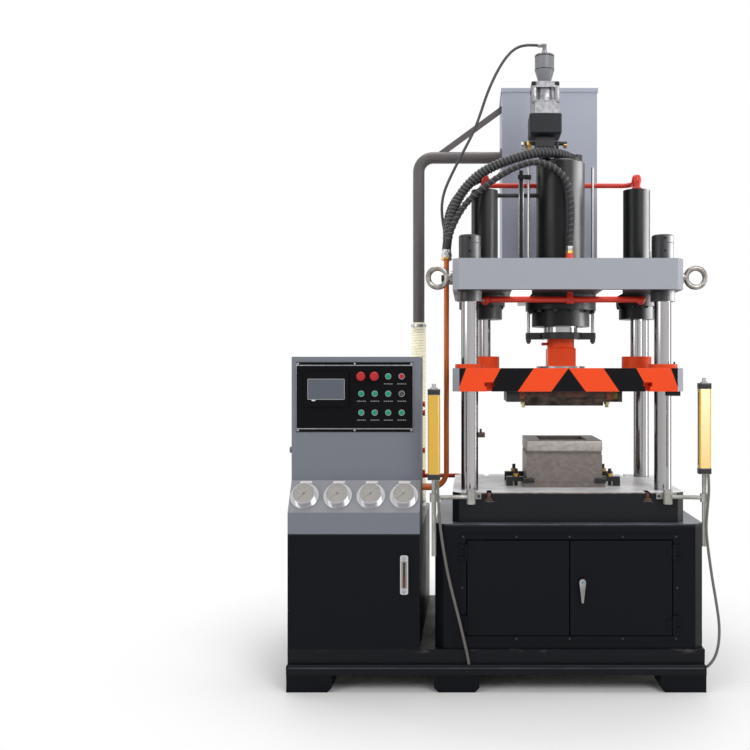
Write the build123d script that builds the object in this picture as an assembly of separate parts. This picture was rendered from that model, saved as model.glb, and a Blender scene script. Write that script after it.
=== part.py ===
"""Four-column hydraulic press with its console and power unit on one skid.

Millimetres, +Z up. Every function works in the press frame: x to the right of the press axis,
y behind it, z above the floor. export() moves the finished pieces so that the origin lies on the
floor under the middle of the whole machine.
"""
from build123d import *
from math import pi, radians, tan
import os

# General fits
fit = 0.3                    # clearance of a seat or bore within one body
run = 0.5                    # clearance round a sliding rod or column
overrun = 5.0                # how far a cut runs past a face

# Feet and skid
foot_height = 75.0
foot_width = 195.0
foot_depth = 150.0
foot_chamfer = 20.0
foot_inset = 5.0
middle_foot_inset = 95.0     # middle foot's middle from the cabinet's left side
skid_lower = 44.0
skid_upper = 61.0
skid_step = 20.0
skid_end_step = 3.0
skid_round = 8.0
skid_front = 430.0
skid_rear = 570.0

# Base cabinet and doors
cabinet_half = 580.0
cabinet_half_depth = 400.0
cabinet_height = 537.0
cabinet_chamfer = 38.0
cabinet_wall = 12.0
frame_half = 470.0
frame_margin = 30.0
frame_thickness = 4.0
door_half = 440.0
door_low = 60.0              # above the cabinet floor
door_height = 406.0
door_gap = 5.0
door_depth = 18.0
door_skin = 3.0
door_proud = 4.0             # door face in front of the frame
hinge_radius = 7.0
hinge_reach = 7.0            # hinge axis beside the door edge
hinge_length = 70.0
hinge_leaf = 28.0
hinge_leaf_thickness = 3.0
hinge_end = 50.0             # hinge middle from the door's end
handle_x = 53.0
handle_rise = 232.0          # spindle above the door's lower edge
handle_length = 103.0
handle_hub = 14.0
handle_tip = 4.5
handle_thickness = 10.0
rose_radius = 17.0
rose_thickness = 4.0

# Bed, slide and crown share one outline
plate_half = 505.0
plate_half_depth = 360.0
plate_chamfer = 30.0
bed_thickness = 130.0
daylight = 439.0             # bed top to slide underside
slide_thickness = 102.0
crown_gap = 343.0            # slide top to crown underside
crown_thickness = 136.0
slot_inset = 85.0            # T-slots inside the columns
slot_length = 70.0           # from the front and rear faces
slot_neck = 22.0
slot_neck_depth = 22.0
slot_head = 40.0
slot_head_depth = 18.0

# Columns and nuts
column_radius = 38.0
column_inset = 75.0          # column axis from the plate's side
column_inset_depth = 100.0   # column axis from the plate's front
nut_radius = 49.0
nut_low = 75.0
nut_high = 38.0
nut_round = 9.0
nut_hole = 6.0
nut_hole_depth = 7.0
under_nut_radius = 54.0
under_nut = 47.0
bottom_nut = 50.0
column_tail = 12.0

# Eye bolts and work lamps
eye_x = 67.0                 # ring centre outside the crown
eye_inset = 80.0             # behind the crown's front
eye_drop = 10.0              # below the crown's middle
eye_ring = 42.0
eye_wire = 12.0
eye_collar_radius = 30.0
eye_collar = 10.0
eye_shank = 15.0
lamp_x = 200.0
lamp_width = 87.0
lamp_depth = 236.0
lamp_inset = 50.0
lamp_thickness = 14.0
lamp_round = 8.0

# Main cylinder and ram
main_radius = 115.0
main_rise = 493.0
main_round = 8.0
flange_radius = 166.0
flange_thickness = 72.0
gland_radius = 136.0
gland_length = 75.0
ram_radius = 80.0
ram_length = 700.0
bore_relief = 5.0
cylinder_head = 30.0
yoke_gap = 28.0              # gland end to yoke
yoke_thickness = 31.0
yoke_half = 166.0
yoke_ring = 102.0
yoke_arm = 58.0
rod_x = 152.0
rod_radius = 7.0
rod_drop = 21.0              # below the yoke
rod_nut = 12.0
rod_nut_height = 14.0
rod_short = 22.0             # rod's end below the main cylinder's top
disc_radius = 64.0
disc_thickness = 38.0
block_side = 130.0
block_chamfer = 8.0
seat_radius = 114.0
seat_thickness = 10.0

# Return cylinders
return_inset = 70.0          # return cylinders inside the columns
return_radius = 63.0
return_rise = 362.0
return_flange_radius = 96.0
return_flange = 52.0
return_gland_radius = 83.0
return_gland = 60.0
return_rod = 29.0
return_rod_length = 760.0
return_bore_relief = 10.0
return_head = 28.0
collar_radius = 70.0
collar_height = 56.0
bush_radius = 65.0
bush_height = 18.0
flange_round = 3.0

# Red return pipes
upper_pipe_radius = 12.0
upper_pipe_rise = 53.0       # above the return cylinders
upper_pipe_y = 142.0
upper_pipe_bend = 45.0
lower_pipe_radius = 14.0
lower_pipe_drop = 31.0       # below the crown
lower_pipe_gap = 6.0         # in front of the main flange
lower_pipe_bend = 40.0
riser_x = 24.0

# Stroke drive on the main cylinder
drive_x = -76.0
neck_radius = 30.0
neck_length = 123.0
valve_width = 92.0
valve_depth = 70.0
valve_height = 46.0
valve_drop = 6.0
port_radius = 10.0
port_reach = 106.0
gearbox_side = 150.0
gearbox_height = 97.0
gearbox_chamfer = 6.0
motor_side = 130.0
motor_height = 150.0
motor_corner = 16.0
motor_core = 50.0
motor_waist = 60.0
motor_waist_low = 62.0
cup_neck_radius = 30.0
cup_neck = 15.0
cup_radius = 46.0
cup_taper = 54.0
cup_height = 71.0
cup_gland_radius = 12.0
cup_gland = 44.0
plug_radius = 9.0
plug_length = 30.0

# Top oil tank and overflow pipe
top_tank_left = -265.0
top_tank_width = 490.0
top_tank_gap = 20.0          # behind the crown
top_tank_depth = 400.0
top_tank_low = 29.0          # above the crown underside
top_tank_height = 1053.0
tank_wall = 5.0
lid_thickness = 20.0
lid_overhang = 5.0
bracket_width = 60.0
bracket_inset = 100.0
bracket_thickness = 20.0
pipe_radius = 30.0
pipe_flange_radius = 48.0
pipe_flange = 10.0
pipe_inset = 52.0            # from the power unit's right side
pipe_behind = 60.0           # behind the top tank's front
pipe_drop = 325.0            # below the top tank's rim
pipe_bend = 75.0
pipe_below = 155.0           # pipe's end below the crown
brace_width = 30.0
brace_thickness = 8.0
brace_drop = 73.0
brace_foot = 108.0           # brace foot from the pipe's bend
hose_radius = 38.0
hose_lap = 52.0
spigot = 55.0

# Feed pipes, their clamp and the fittings
feed_out = 33.0              # pipes outside the crown
feed_radius = 11.0
feed_y = -125.0
feed_pitch = 37.0
feed_rise = 24.0             # above the crown
feed_lift = 163.0            # lower run above the power unit's lid
feed_bend_share = 0.46       # of the lower run
clamp_margin = 22.0
clamp_height = 30.0
clamp_drop = 52.0            # below the crown top
conduit_radius = 10.0
ferrule_length = 44.0
ferrule_radius = 16.0
ferrule_large = 22.0
return_ferrule = 72.0
head_fitting_x = 84.0
head_fitting_y = 30.0
head_fitting = 44.0
head_fitting_radius = 24.0
head_stub_radius = 19.0
head_stub = 24.0
return_stub_radius = 12.0
return_stub = 19.0
front_ferrule = 74.0

# Power unit: tank, console and what it carries
unit_gap = 65.0              # between cabinet and tank
tank_width = 567.0
tank_front = 410.0
tank_rear = 540.0
tank_height = 488.0
tank_lid = 7.0
console_low = 92.0
console_slope_back = 90.0
console_slope_rise = 129.0
console_height = 763.0
console_depth = 255.0
console_gland_y = -250.0
console_gland_rise = 349.0
console_gland_radius = 14.0
console_gland = 20.0
panel_inset = 20.0
panel_right_inset = 32.0
panel_top_inset = 24.0
panel_height = 306.0
panel_thickness = 4.0
screen_inset = 35.0
screen_width = 197.0
screen_height = 151.0
screen_drop = 43.0
screen_thickness = 10.0
display_width = 162.0
display_height = 91.0
display_depth = 1.5
button_right = 51.0
button_pitch = 59.0
button_first_drop = 62.0
button_second_drop = 138.0
button_third_drop = 221.0
button_ring = 14.5
button_ring_height = 6.0
button_cap = 11.0
button_cap_height = 7.0
mushroom_radius = 20.0
mushroom_height = 13.0
mushroom_neck = 12.0
gauge_inset = 65.0
gauge_pitch = 144.0
gauge_flange_radius = 62.0
gauge_flange = 4.0
gauge_radius = 50.0
gauge_depth = 30.0
gauge_lip = 4.0
gauge_face_depth = 5.0
level_right = 48.0
level_width = 34.0
level_low = 239.0
level_height = 168.0
level_depth = 18.0

# Manifold, pump motor and red pipes behind the console
manifold_right = 45.0
manifold_width = 150.0
manifold_gap = 5.0
manifold_depth = 210.0
manifold_height = 560.0
valve_body_width = 80.0
valve_body_depth = 70.0
valve_body_height = 60.0
valve_first = 110.0
valve_pitch = 125.0
valve_count = 4
solenoid_radius = 24.0
solenoid_length = 62.0
pump_inset = 202.0           # from the power unit's left side
pump_y = 210.0
bell_radius = 105.0
bell_height = 115.0
pump_radius = 112.0
pump_height = 330.0
fin_height = 12.0
fin_thickness = 5.0
fin_count = 20
cowl_height = 60.0
cowl_round = 12.0
terminal_width = 90.0
terminal_depth = 60.0
terminal_height = 80.0
stub_radius = 13.0
stub_length = 48.0
stub_behind = 60.0
stub_rises = (544.0, 503.0, 326.0, 220.0)
drain_radius = 11.0
drain_inset = 125.0          # from the power unit's right side
drain_out = 20.0             # beyond the column and inside the cabinet's back
drain_bend = 45.0

# Light curtains
curtain_left_out = 78.0      # outside the bed
curtain_right_out = 70.0
curtain_left_rise = 88.0     # above the bed
curtain_right_rise = 114.0
curtain_ahead = 20.0         # in front of the cabinet
curtain_width = 52.0
curtain_depth = 40.0
curtain_height = 337.0
curtain_round = 8.0
cap_height = 26.0
stud_radius = 8.0
stud_height = 22.0
post_radius = 10.0
left_post = 326.0
right_post = 310.0
arm_drop = 14.0              # below the bed's top
arm_radius = 9.0
clamp_radius = 18.0
clamp_length = 36.0
swivel_inset = 6.0           # inside the column
swivel_ahead = 32.0          # in front of the bed
swivel_radius = 20.0
swivel_height = 62.0
ear_width = 88.0
ear_height = 26.0
ear_thickness = 12.0

# Dies
die_half = 171.0
die_front = 184.0
die_rear = 185.0
die_foot = 14.0
die_base = 22.0
die_height = 212.0
die_groove_low = 147.0
die_groove = 18.0
die_groove_depth = 3.0
cavity_half = 109.0
cavity_half_depth = 120.0
cavity_depth = 47.0
strap_length = 90.0
strap_width = 38.0
strap_height = 20.0
strap_step = 30.0
strap_y = 110.0
strap_stud = 8.0
strap_stud_rise = 36.0
strap_nut = 14.0
strap_nut_height = 15.0
upper_half = 176.0
upper_height = 68.0
upper_ear = 86.0
upper_ear_height = 51.0

# Cord diameters
main_hose_diameter = 42.0
front_hose_diameter = 27.0
return_hose_diameter = 27.0
drive_cable_diameter = 13.0
curtain_cable_diameter = 12.0
bend_share = 0.45

# Cord routes, in the press frame
main_hose_route = [
    (-538, -88, 1937.2), (-528, -88, 2050), (-488, -92, 2178), (-412, -98, 2268), (-332, -103, 2320),
    (-216, -108, 2362), (-128, -100, 2386), (-62, -78, 2394), (8, -38, 2392), (58, 4, 2384)]
front_hose_route = [
    (-538, -125, 1937.8), (-524, -127, 2012), (-466, -132, 2125), (-406, -138, 2188), (-333, -145, 2242),
    (-252, -152, 2293), (-180, -158, 2322), (-126, -163, 2330), (-72, -167, 2318), (-25, -171, 2289),
    (9, -176, 2246), (26, -180, 2194), (33, -184, 2115), (31, -186, 2030), (26, -186, 1978),
    (24, -186, 1942.0)]
return_hose_route = [
    (-538, -51, 1936.2), (-543, -52, 2012), (-538, -50, 2095), (-511, -44, 2165), (-469, -34, 2222),
    (-420, -18, 2262), (-382.8, -7.4, 2278)]
drive_cable_route = [
    (-106.9, 0, 2918.5), (-160, -3, 2922), (-216, -6, 2904), (-262, -10, 2856), (-306, -14, 2782),
    (-349, -17, 2685), (-378, -19, 2594), (-410, -20, 2507), (-466, -19, 2400), (-520, -17, 2296),
    (-552, -15, 2222), (-564, -14, 2155), (-559, -14, 2085), (-545, -14, 2010), (-538, -14, 1936.0)]
left_cable_route = [
    (-566, -429, 907.3), (-566, -437, 875), (-563, -451, 835), (-560, -454, 770), (-550, -452, 668),
    (-527, -449, 530), (-500, -447, 415), (-474, -445, 315), (-456, -441, 236), (-441, -433, 172),
    (-433, -421, 120.9)]
right_cable_route = [
    (590, -429, 933.2), (590, -437, 902), (587, -451, 862), (580, -455, 795), (574, -452, 715),
    (581, -449, 640), (601, -445, 500), (625, -441, 365), (635, -438, 290), (635, -434, 226),
    (626, -428, 168), (606, -420, 124), (587.6, -413, 106)]

# Heights and places worked out from the sizes above
skid_top = foot_height + skid_lower + skid_upper
cabinet_top = skid_top + cabinet_height
bed_top = cabinet_top + bed_thickness
slide_low = bed_top + daylight
slide_top = slide_low + slide_thickness
crown_low = slide_top + crown_gap
crown_top = crown_low + crown_thickness
main_top = crown_top + main_rise
return_top = crown_top + return_rise
gland_end = crown_low - flange_thickness - gland_length
yoke_top = gland_end - yoke_gap
yoke_low = yoke_top - yoke_thickness
unit_right = -cabinet_half - unit_gap
unit_left = unit_right - tank_width
skid_left = unit_left - skid_end_step
skid_right = cabinet_half + skid_end_step
tank_top = skid_top + tank_height
unit_top = tank_top + tank_lid
console_top = unit_top + console_height
console_front = -tank_front + console_slope_back
console_back = -tank_front + console_depth
door_face = -cabinet_half_depth - frame_thickness - door_proud
hinge_x = door_half + hinge_reach
hinge_y = door_face - hinge_radius + hinge_leaf_thickness
door_z = skid_top + door_low
drive_low = main_top + neck_length
motor_low = drive_low + gearbox_height
cup_low = motor_low + motor_height
cup_top = cup_low + cup_neck + cup_taper + cup_height
plug_z = cup_top + cup_gland + plug_radius / 2
top_tank_front = plate_half_depth + top_tank_gap
top_tank_floor = crown_low + top_tank_low
top_tank_rim = top_tank_floor + top_tank_height
pipe_y = top_tank_front + pipe_behind
pipe_z = top_tank_rim - pipe_drop
lower_pipe_y = -flange_radius - lower_pipe_gap - lower_pipe_radius
lower_pipe_z = crown_low - lower_pipe_drop
manifold_x = unit_right - manifold_right
manifold_y = console_back + manifold_gap
column_x = plate_half - column_inset
column_y = plate_half_depth - column_inset_depth
slot_x = column_x - slot_inset
return_x = column_x - return_inset
column_places = [(x, y) for x in (-column_x, column_x) for y in (-column_y, column_y)]
middle_foot_x = -cabinet_half + middle_foot_inset
rod_top = main_top - rod_short
eye_y = -plate_half_depth + eye_inset
pipe_x = unit_right - pipe_inset
pipe_end = crown_low - pipe_below
feed_x = -plate_half - feed_out
feed_top = crown_top + feed_rise
feed_low = unit_top + feed_lift
feed_bend = feed_bend_share * (feed_x - manifold_x)
feed_places = [feed_y + i * feed_pitch for i in range(3)]
conduit_y = feed_y + 3 * feed_pitch
drain_start = unit_right - drain_inset
drain_end = -column_x - drain_out
drain_y = cabinet_half_depth - drain_out
pump_x = unit_left + pump_inset
panel_x = (unit_left + panel_inset, unit_right - panel_right_inset)
panel_top = console_top - panel_top_inset
panel_face = console_front - panel_thickness
curtain_y = -cabinet_half_depth - curtain_ahead
arm_z = bed_top - arm_drop
swivel_x = column_x - swivel_inset
swivel_y = -plate_half_depth - swivel_ahead
curtain_sides = [(-plate_half - curtain_left_out, bed_top + curtain_left_rise, left_post, -swivel_x),
                 (plate_half + curtain_right_out, bed_top + curtain_right_rise, right_post, swivel_x)]

# The whole machine's reach, which sets the origin
reach_left = unit_left - console_gland
reach_right = plate_half + eye_x + eye_ring + eye_wire
reach_front = curtain_y - curtain_depth / 2
reach_rear = top_tank_front + top_tank_depth + lid_overhang
centre_x = (reach_left + reach_right) / 2
centre_y = (reach_front + reach_rear) / 2


def block(x, y, z):
    """A box between two corners, each axis a (low, high) pair."""
    middle = [(pair[0] + pair[1]) / 2 for pair in (x, y, z)]
    return Pos(*middle) * Box(x[1] - x[0], y[1] - y[0], z[1] - z[0])


def post(radius, place, z):
    """An upright cylinder."""
    return Pos(place[0], place[1], (z[0] + z[1]) / 2) * Cylinder(radius, z[1] - z[0])


def bar(radius, start, end):
    """A cylinder between two points."""
    way = Vector(*end) - Vector(*start)
    rod = Cylinder(radius, way.length, align=(Align.CENTER, Align.CENTER, Align.MIN))
    return Plane(origin=start, z_dir=way) * rod


def slab(half_x, half_y, corner, z):
    """A plate with its four upright edges chamfered."""
    outline = chamfer(Rectangle(2 * half_x, 2 * half_y).vertices(), corner)
    return Pos(0, 0, z[0]) * extrude(outline, z[1] - z[0])


def turned(profile, place):
    """A solid of revolution about an upright axis, from (radius, z) points."""
    face = Plane.XZ * make_face(Polyline(*profile, close=True))
    return Pos(place[0], place[1], 0) * revolve(face, Axis.Z)


def tube(points, radius, bends):
    """A round bar along straight runs joined by tangent arcs."""
    path = FilletPolyline(*points, radius=bends)
    section = Plane(origin=path @ 0, z_dir=path % 0) * Circle(radius)
    return sweep(section, path=path)


def cord(name, route, diameter):
    """A flexible cord: each arc is as large as its two runs allow."""
    points = [Vector(*point) for point in route]
    runs = [b - a for a, b in zip(points, points[1:])]
    bends = []
    for first, second in zip(runs, runs[1:]):
        half_turn = radians(first.get_angle(second)) / 2
        bends.append(bend_share * min(first.length, second.length) / tan(half_turn))
    solid = tube(route, diameter / 2, bends)
    length = FilletPolyline(*route, radius=bends).length
    share = solid.volume / (length * pi * diameter ** 2 / 4)
    print(f"{name}: {length:.0f} long, volume share {share:.3f}, least radius {min(bends):.0f}",
          "radii", [round(bend) for bend in bends])
    return solid


def solids(*shapes):
    """Separate solids in one node."""
    return Compound([solid for shape in shapes for solid in shape.solids()])


def mirrored(shape):
    """The shape and its mirror image across the press axis."""
    return [shape, mirror(shape, about=Plane.YZ)]


def t_slots(face_z, way):
    """Cutters for the four T-slots; way is 1 for slots open upwards and -1 for ones open downwards."""
    cutters = []
    front, inner = -plate_half_depth - overrun, -plate_half_depth + slot_length
    floor = face_z - way * slot_neck_depth
    root = floor - way * slot_head_depth
    mouth = face_z + way * overrun
    for x in (-slot_x, slot_x):
        for depth in ((front, inner), (-inner, -front)):
            cutters.append(block((x - slot_neck / 2, x + slot_neck / 2), depth, sorted((floor, mouth))))
            cutters.append(block((x - slot_head / 2, x + slot_head / 2), depth, sorted((root, floor))))
    return cutters


def bores(places, radius, z):
    """Cutters for upright round holes."""
    return [post(radius, place, (z[0] - overrun, z[1] + overrun)) for place in places]


def skid_feet():
    feet = []
    ends = [(skid_left, 1), (middle_foot_x - foot_width / 2, 0), (skid_right - foot_width, -1)]
    for left, inner in ends:
        right = left + foot_width
        low_left = left + (foot_chamfer if inner < 1 else 0)
        low_right = right - (foot_chamfer if inner > -1 else 0)
        points = [(low_left, 0), (low_right, 0)]
        if inner > -1:
            points.append((right, foot_chamfer))
        points += [(right, foot_height), (left, foot_height)]
        if inner < 1:
            points.append((left, foot_chamfer))
        outline = Plane.XZ * make_face(Polyline(*points, close=True))
        foot = extrude(outline, foot_depth, dir=(0, 1, 0))
        feet.append(Pos(0, -skid_front + foot_inset, 0) * foot)
        feet.append(Pos(0, skid_rear - foot_inset - foot_depth, 0) * foot)
    return solids(*feet)


def skid():
    x, y = (skid_left, skid_right), (-skid_front, skid_rear)
    lower = block(x, y, (foot_height, foot_height + skid_lower))
    lower = fillet(lower.edges().group_by(Axis.Z)[-1], skid_round)
    upper = block((x[0] + skid_end_step, x[1] - skid_end_step), (y[0] + skid_step, y[1] - skid_step),
                  (foot_height + skid_lower, skid_top))
    return lower + upper


def cabinet_shell():
    z = (skid_top, cabinet_top - cabinet_wall)
    inner_chamfer = cabinet_chamfer - cabinet_wall * (2 - 2 ** 0.5)
    outer = slab(cabinet_half, cabinet_half_depth, cabinet_chamfer, z)
    inner = slab(cabinet_half - cabinet_wall, cabinet_half_depth - cabinet_wall, inner_chamfer,
                 (z[0] - overrun, z[1] + overrun))
    return outer - inner


def cabinet_sides():
    side = block((-cabinet_half, -cabinet_half + cabinet_chamfer),
                 (-cabinet_half_depth, cabinet_half_depth), (skid_top, cabinet_top))
    return solids(*mirrored(cabinet_shell() & side))


def cabinet_back():
    reach = cabinet_half - cabinet_chamfer
    return block((-reach, reach), (cabinet_half_depth - cabinet_wall, cabinet_half_depth),
                 (skid_top, cabinet_top - cabinet_wall))


def hinge_spans(middle):
    """The heights of the fixed knuckles above and below a hinge's middle."""
    half = hinge_length / 2
    knuckle = hinge_length / 4
    return [(middle - half, middle - knuckle - fit), (middle + knuckle + fit, middle + half)]


def hinge_heights():
    return [door_z + hinge_end, door_z + door_height - hinge_end]


def cabinet_front():
    reach = cabinet_half - cabinet_chamfer
    face = -cabinet_half_depth
    wall = block((-reach, reach), (face, face + cabinet_wall), (skid_top, cabinet_top - cabinet_wall))
    frame = block((-frame_half, frame_half), (face - frame_thickness, face),
                  (door_z - frame_margin, door_z + door_height + frame_margin))
    opening = block((-door_half - door_gap, door_half + door_gap),
                    (face - frame_thickness - overrun, face + cabinet_wall + overrun),
                    (door_z - door_gap, door_z + door_height + door_gap))
    front = wall + frame - opening
    for middle in hinge_heights():
        for z in hinge_spans(middle):
            leaf = block((-hinge_x - hinge_leaf, -hinge_x), (hinge_y, face - frame_thickness), z)
            knuckle = leaf + post(hinge_radius, (-hinge_x, hinge_y), z)
            for half in mirrored(knuckle):
                front += half
    return front


def cabinet_lid():
    z = (cabinet_top - cabinet_wall, cabinet_top)
    lid = slab(cabinet_half, cabinet_half_depth, cabinet_chamfer, z)
    return lid - bores(column_places, column_radius + fit, z)


def door_leaf():
    """The left door: a folded pan, open at the back, with its hinge knuckles."""
    x = (-door_half, -door_gap / 2)
    z = (door_z, door_z + door_height)
    y = (door_face, door_face + door_depth)
    leaf = block(x, y, z)
    leaf -= block((x[0] + door_skin, x[1] - door_skin), (y[0] + door_skin, y[1] + overrun),
                  (z[0] + door_skin, z[1] - door_skin))
    for middle in hinge_heights():
        span = (middle - hinge_length / 4, middle + hinge_length / 4)
        leaf += post(hinge_radius, (-hinge_x, hinge_y), span)
        leaf += block((-hinge_x, -hinge_x + hinge_leaf), (door_face - hinge_leaf_thickness, door_face),
                      span)
    return leaf


def right_door():
    rose = bar(rose_radius, (handle_x, door_face, door_z + handle_rise),
               (handle_x, door_face - rose_thickness, door_z + handle_rise))
    return mirror(door_leaf(), about=Plane.YZ) + rose


def door_handle():
    z = door_z + handle_rise
    back = door_face - rose_thickness - fit
    front = back - 2 * handle_thickness
    hub = bar(handle_hub, (handle_x, back, z), (handle_x, front, z))
    tip_z = z - handle_length + handle_hub + handle_tip
    outline = make_hull([*(Pos(handle_x, z) * Circle(handle_hub)).edges(),
                         *(Pos(handle_x, tip_z) * Circle(handle_tip)).edges()])
    lever = Plane.XZ.offset(-front - handle_thickness) * outline
    lever = extrude(lever, handle_thickness, dir=(0, -1, 0))
    return hub + lever


def bed():
    plate = slab(plate_half, plate_half_depth, plate_chamfer, (cabinet_top, bed_top))
    plate -= bores(column_places, column_radius + fit, (cabinet_top, bed_top))
    return plate - t_slots(bed_top, 1)


def columns():
    low = cabinet_top - cabinet_wall - bottom_nut - column_tail
    high = crown_top + nut_low + nut_high / 2
    return solids(*[post(column_radius, place, (low, high)) for place in column_places])


def ring(radius, bore, place, z):
    return post(radius, place, z) - post(bore, place, (z[0] - overrun, z[1] + overrun))


def spanner_nut(place, z, rounded):
    nut = post(nut_radius, place, z)
    if rounded:
        nut = fillet(nut.edges().group_by(Axis.Z)[-1], nut_round)
    nut -= post(column_radius + fit, place, (z[0] - overrun, z[1] + overrun))
    middle = (z[0] + z[1]) / 2
    reach = nut_radius + overrun
    deep = nut_radius - nut_hole_depth
    for way_x, way_y in ((1, 0), (-1, 0), (0, 1), (0, -1)):
        nut -= bar(nut_hole, (place[0] + way_x * deep, place[1] + way_y * deep, middle),
                   (place[0] + way_x * reach, place[1] + way_y * reach, middle))
    return nut


def column_nuts():
    nuts = []
    split = crown_top + nut_low
    for place in column_places:
        nuts.append(spanner_nut(place, (crown_top, split - fit), False))
        nuts.append(spanner_nut(place, (split, split + nut_high), True))
        nuts.append(ring(under_nut_radius, column_radius + fit, place, (crown_low - under_nut, crown_low)))
        bottom = cabinet_top - cabinet_wall
        nuts.append(ring(under_nut_radius, column_radius + fit, place, (bottom - bottom_nut, bottom)))
    return solids(*nuts)


def crown():
    z = (crown_low, crown_top)
    plate = slab(plate_half, plate_half_depth, plate_chamfer, z)
    plate -= bores(column_places, column_radius + fit, z)
    plate -= bores([(0, 0)], main_radius + fit, z)
    plate -= bores([(-return_x, 0), (return_x, 0)], return_radius + fit, z)
    plate -= bores([(-rod_x, 0), (rod_x, 0)], rod_radius + run, z)
    return plate - bores([(riser_x, lower_pipe_y)], lower_pipe_radius + fit, z)


def eye_bolts():
    z = (crown_low + crown_top) / 2 - eye_drop
    centre = plate_half + eye_x
    eye = Pos(centre, eye_y, z) * Rot(90, 0, 0) * Torus(eye_ring, eye_wire)
    eye += bar(eye_shank, (plate_half, eye_y, z), (centre - eye_ring, eye_y, z))
    eye += bar(eye_collar_radius, (plate_half, eye_y, z), (plate_half + eye_collar, eye_y, z))
    return solids(*mirrored(eye))


def work_lamps():
    front = -plate_half_depth + lamp_inset
    lamp = block((lamp_x - lamp_width / 2, lamp_x + lamp_width / 2), (front, front + lamp_depth),
                 (crown_low - lamp_thickness, crown_low))
    lamp = fillet(lamp.edges().filter_by(Axis.Z), lamp_round)
    return solids(*mirrored(lamp))


def main_cylinder():
    bore = ram_radius + bore_relief
    land = gland_end + gland_length
    body = turned([
        (ram_radius + run, gland_end), (gland_radius, gland_end), (gland_radius, land),
        (flange_radius, land), (flange_radius, crown_low), (main_radius, crown_low),
        (main_radius, main_top - main_round), (main_radius - main_round, main_top), (0, main_top),
        (0, main_top - cylinder_head), (bore, main_top - cylinder_head), (bore, land),
        (ram_radius + run, land)], (0, 0))
    return body - bores([(-rod_x, 0), (rod_x, 0)], rod_radius + run, (land, crown_low))


def return_cylinders():
    low = crown_low - return_flange - return_gland
    land = crown_low - return_flange
    bore = return_rod + return_bore_relief
    head = return_top - return_head
    body = turned([
        (return_rod + run, low), (return_gland_radius, low), (return_gland_radius, land),
        (return_flange_radius, land), (return_flange_radius, crown_low), (return_radius, crown_low),
        (return_radius, return_top), (0, return_top), (0, head), (bore, head), (bore, land),
        (return_rod + run, land)], (return_x, 0))
    return solids(*mirrored(body))


def return_pipes():
    z = return_top + upper_pipe_rise
    start = ferrule_radius + fit
    upper = tube([(-return_x, start, z), (-return_x, upper_pipe_y, z), (return_x, upper_pipe_y, z),
                  (return_x, start, z)], upper_pipe_radius, upper_pipe_bend)
    front = -return_flange_radius - fit
    lower = tube([(-return_x, front, lower_pipe_z), (-return_x, lower_pipe_y, lower_pipe_z),
                  (return_x, lower_pipe_y, lower_pipe_z), (return_x, front, lower_pipe_z)],
                 lower_pipe_radius, lower_pipe_bend)
    lower += post(lower_pipe_radius, (riser_x, lower_pipe_y), (lower_pipe_z, crown_top))
    return solids(upper, lower)


def main_ram():
    return post(ram_radius, (0, 0), (yoke_low, yoke_low + ram_length))


def ram_yoke():
    z = (yoke_low, yoke_top)
    arm = SlotOverall(2 * yoke_half, yoke_arm)
    plate = Pos(0, 0, z[0]) * extrude(arm, yoke_thickness) + post(yoke_ring, (0, 0), z)
    plate -= bores([(0, 0)], ram_radius + fit, z)
    return plate - bores([(-rod_x, 0), (rod_x, 0)], rod_radius + fit, z)


def guide_rods():
    rod = post(rod_radius, (rod_x, 0), (yoke_low - rod_drop, rod_top))
    rod += post(rod_nut, (rod_x, 0), (yoke_low - rod_nut_height, yoke_low))
    return solids(*mirrored(rod))


def ram_coupling():
    low = slide_top + seat_thickness
    high = yoke_low - disc_thickness
    side = block_side / 2
    head = block((-side, side), (-side, side), (low, high))
    head = chamfer(head.edges().group_by(Axis.Z)[-1], block_chamfer)
    return head + post(disc_radius, (0, 0), (high, yoke_low))


def coupling_seat():
    return post(seat_radius, (0, 0), (slide_top, slide_top + seat_thickness))


def slide():
    z = (slide_low, slide_top)
    plate = slab(plate_half, plate_half_depth, plate_chamfer, z)
    plate -= bores(column_places, column_radius + run, z)
    return plate - t_slots(slide_low, -1)


def slide_flanges():
    rings = []
    for place in column_places:
        rings.append(ring(bush_radius, column_radius + run, place, (slide_top, slide_top + bush_height)))
    for x in (-return_x, return_x):
        collar = post(collar_radius, (x, 0), (slide_top, slide_top + collar_height))
        collar = fillet(collar.edges().group_by(Axis.Z)[-1], flange_round)
        rings.append(collar - bores([(x, 0)], return_rod + fit, (slide_top, slide_top + collar_height)))
    return solids(*rings)


def return_rods():
    z = (slide_top, slide_top + return_rod_length)
    return solids(*[post(return_rod, (x, 0), z) for x in (-return_x, return_x)])


def upper_die():
    y = (-die_front, die_rear)
    shoe = block((-upper_half, upper_half), y, (slide_low - upper_height, slide_low))
    return shoe + block((-upper_half - upper_ear, upper_half + upper_ear), y,
                        (slide_low - upper_ear_height, slide_low))


def lower_die():
    y = (-die_front, die_rear)
    top = bed_top + die_height
    die = block((-die_half, die_half), y, (bed_top, top))
    die += block((-die_half - die_foot, die_half + die_foot), y, (bed_top, bed_top + die_base))
    groove = (bed_top + die_groove_low, bed_top + die_groove_low + die_groove)
    band = block((-die_half - overrun, die_half + overrun), (y[0] - overrun, y[1] + overrun), groove)
    band -= block((-die_half + die_groove_depth, die_half - die_groove_depth),
                  (y[0] + die_groove_depth, y[1] - die_groove_depth), groove)
    cavity = block((-cavity_half, cavity_half), (-cavity_half_depth, cavity_half_depth),
                   (top - cavity_depth, top + overrun))
    return die - band - cavity


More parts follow.
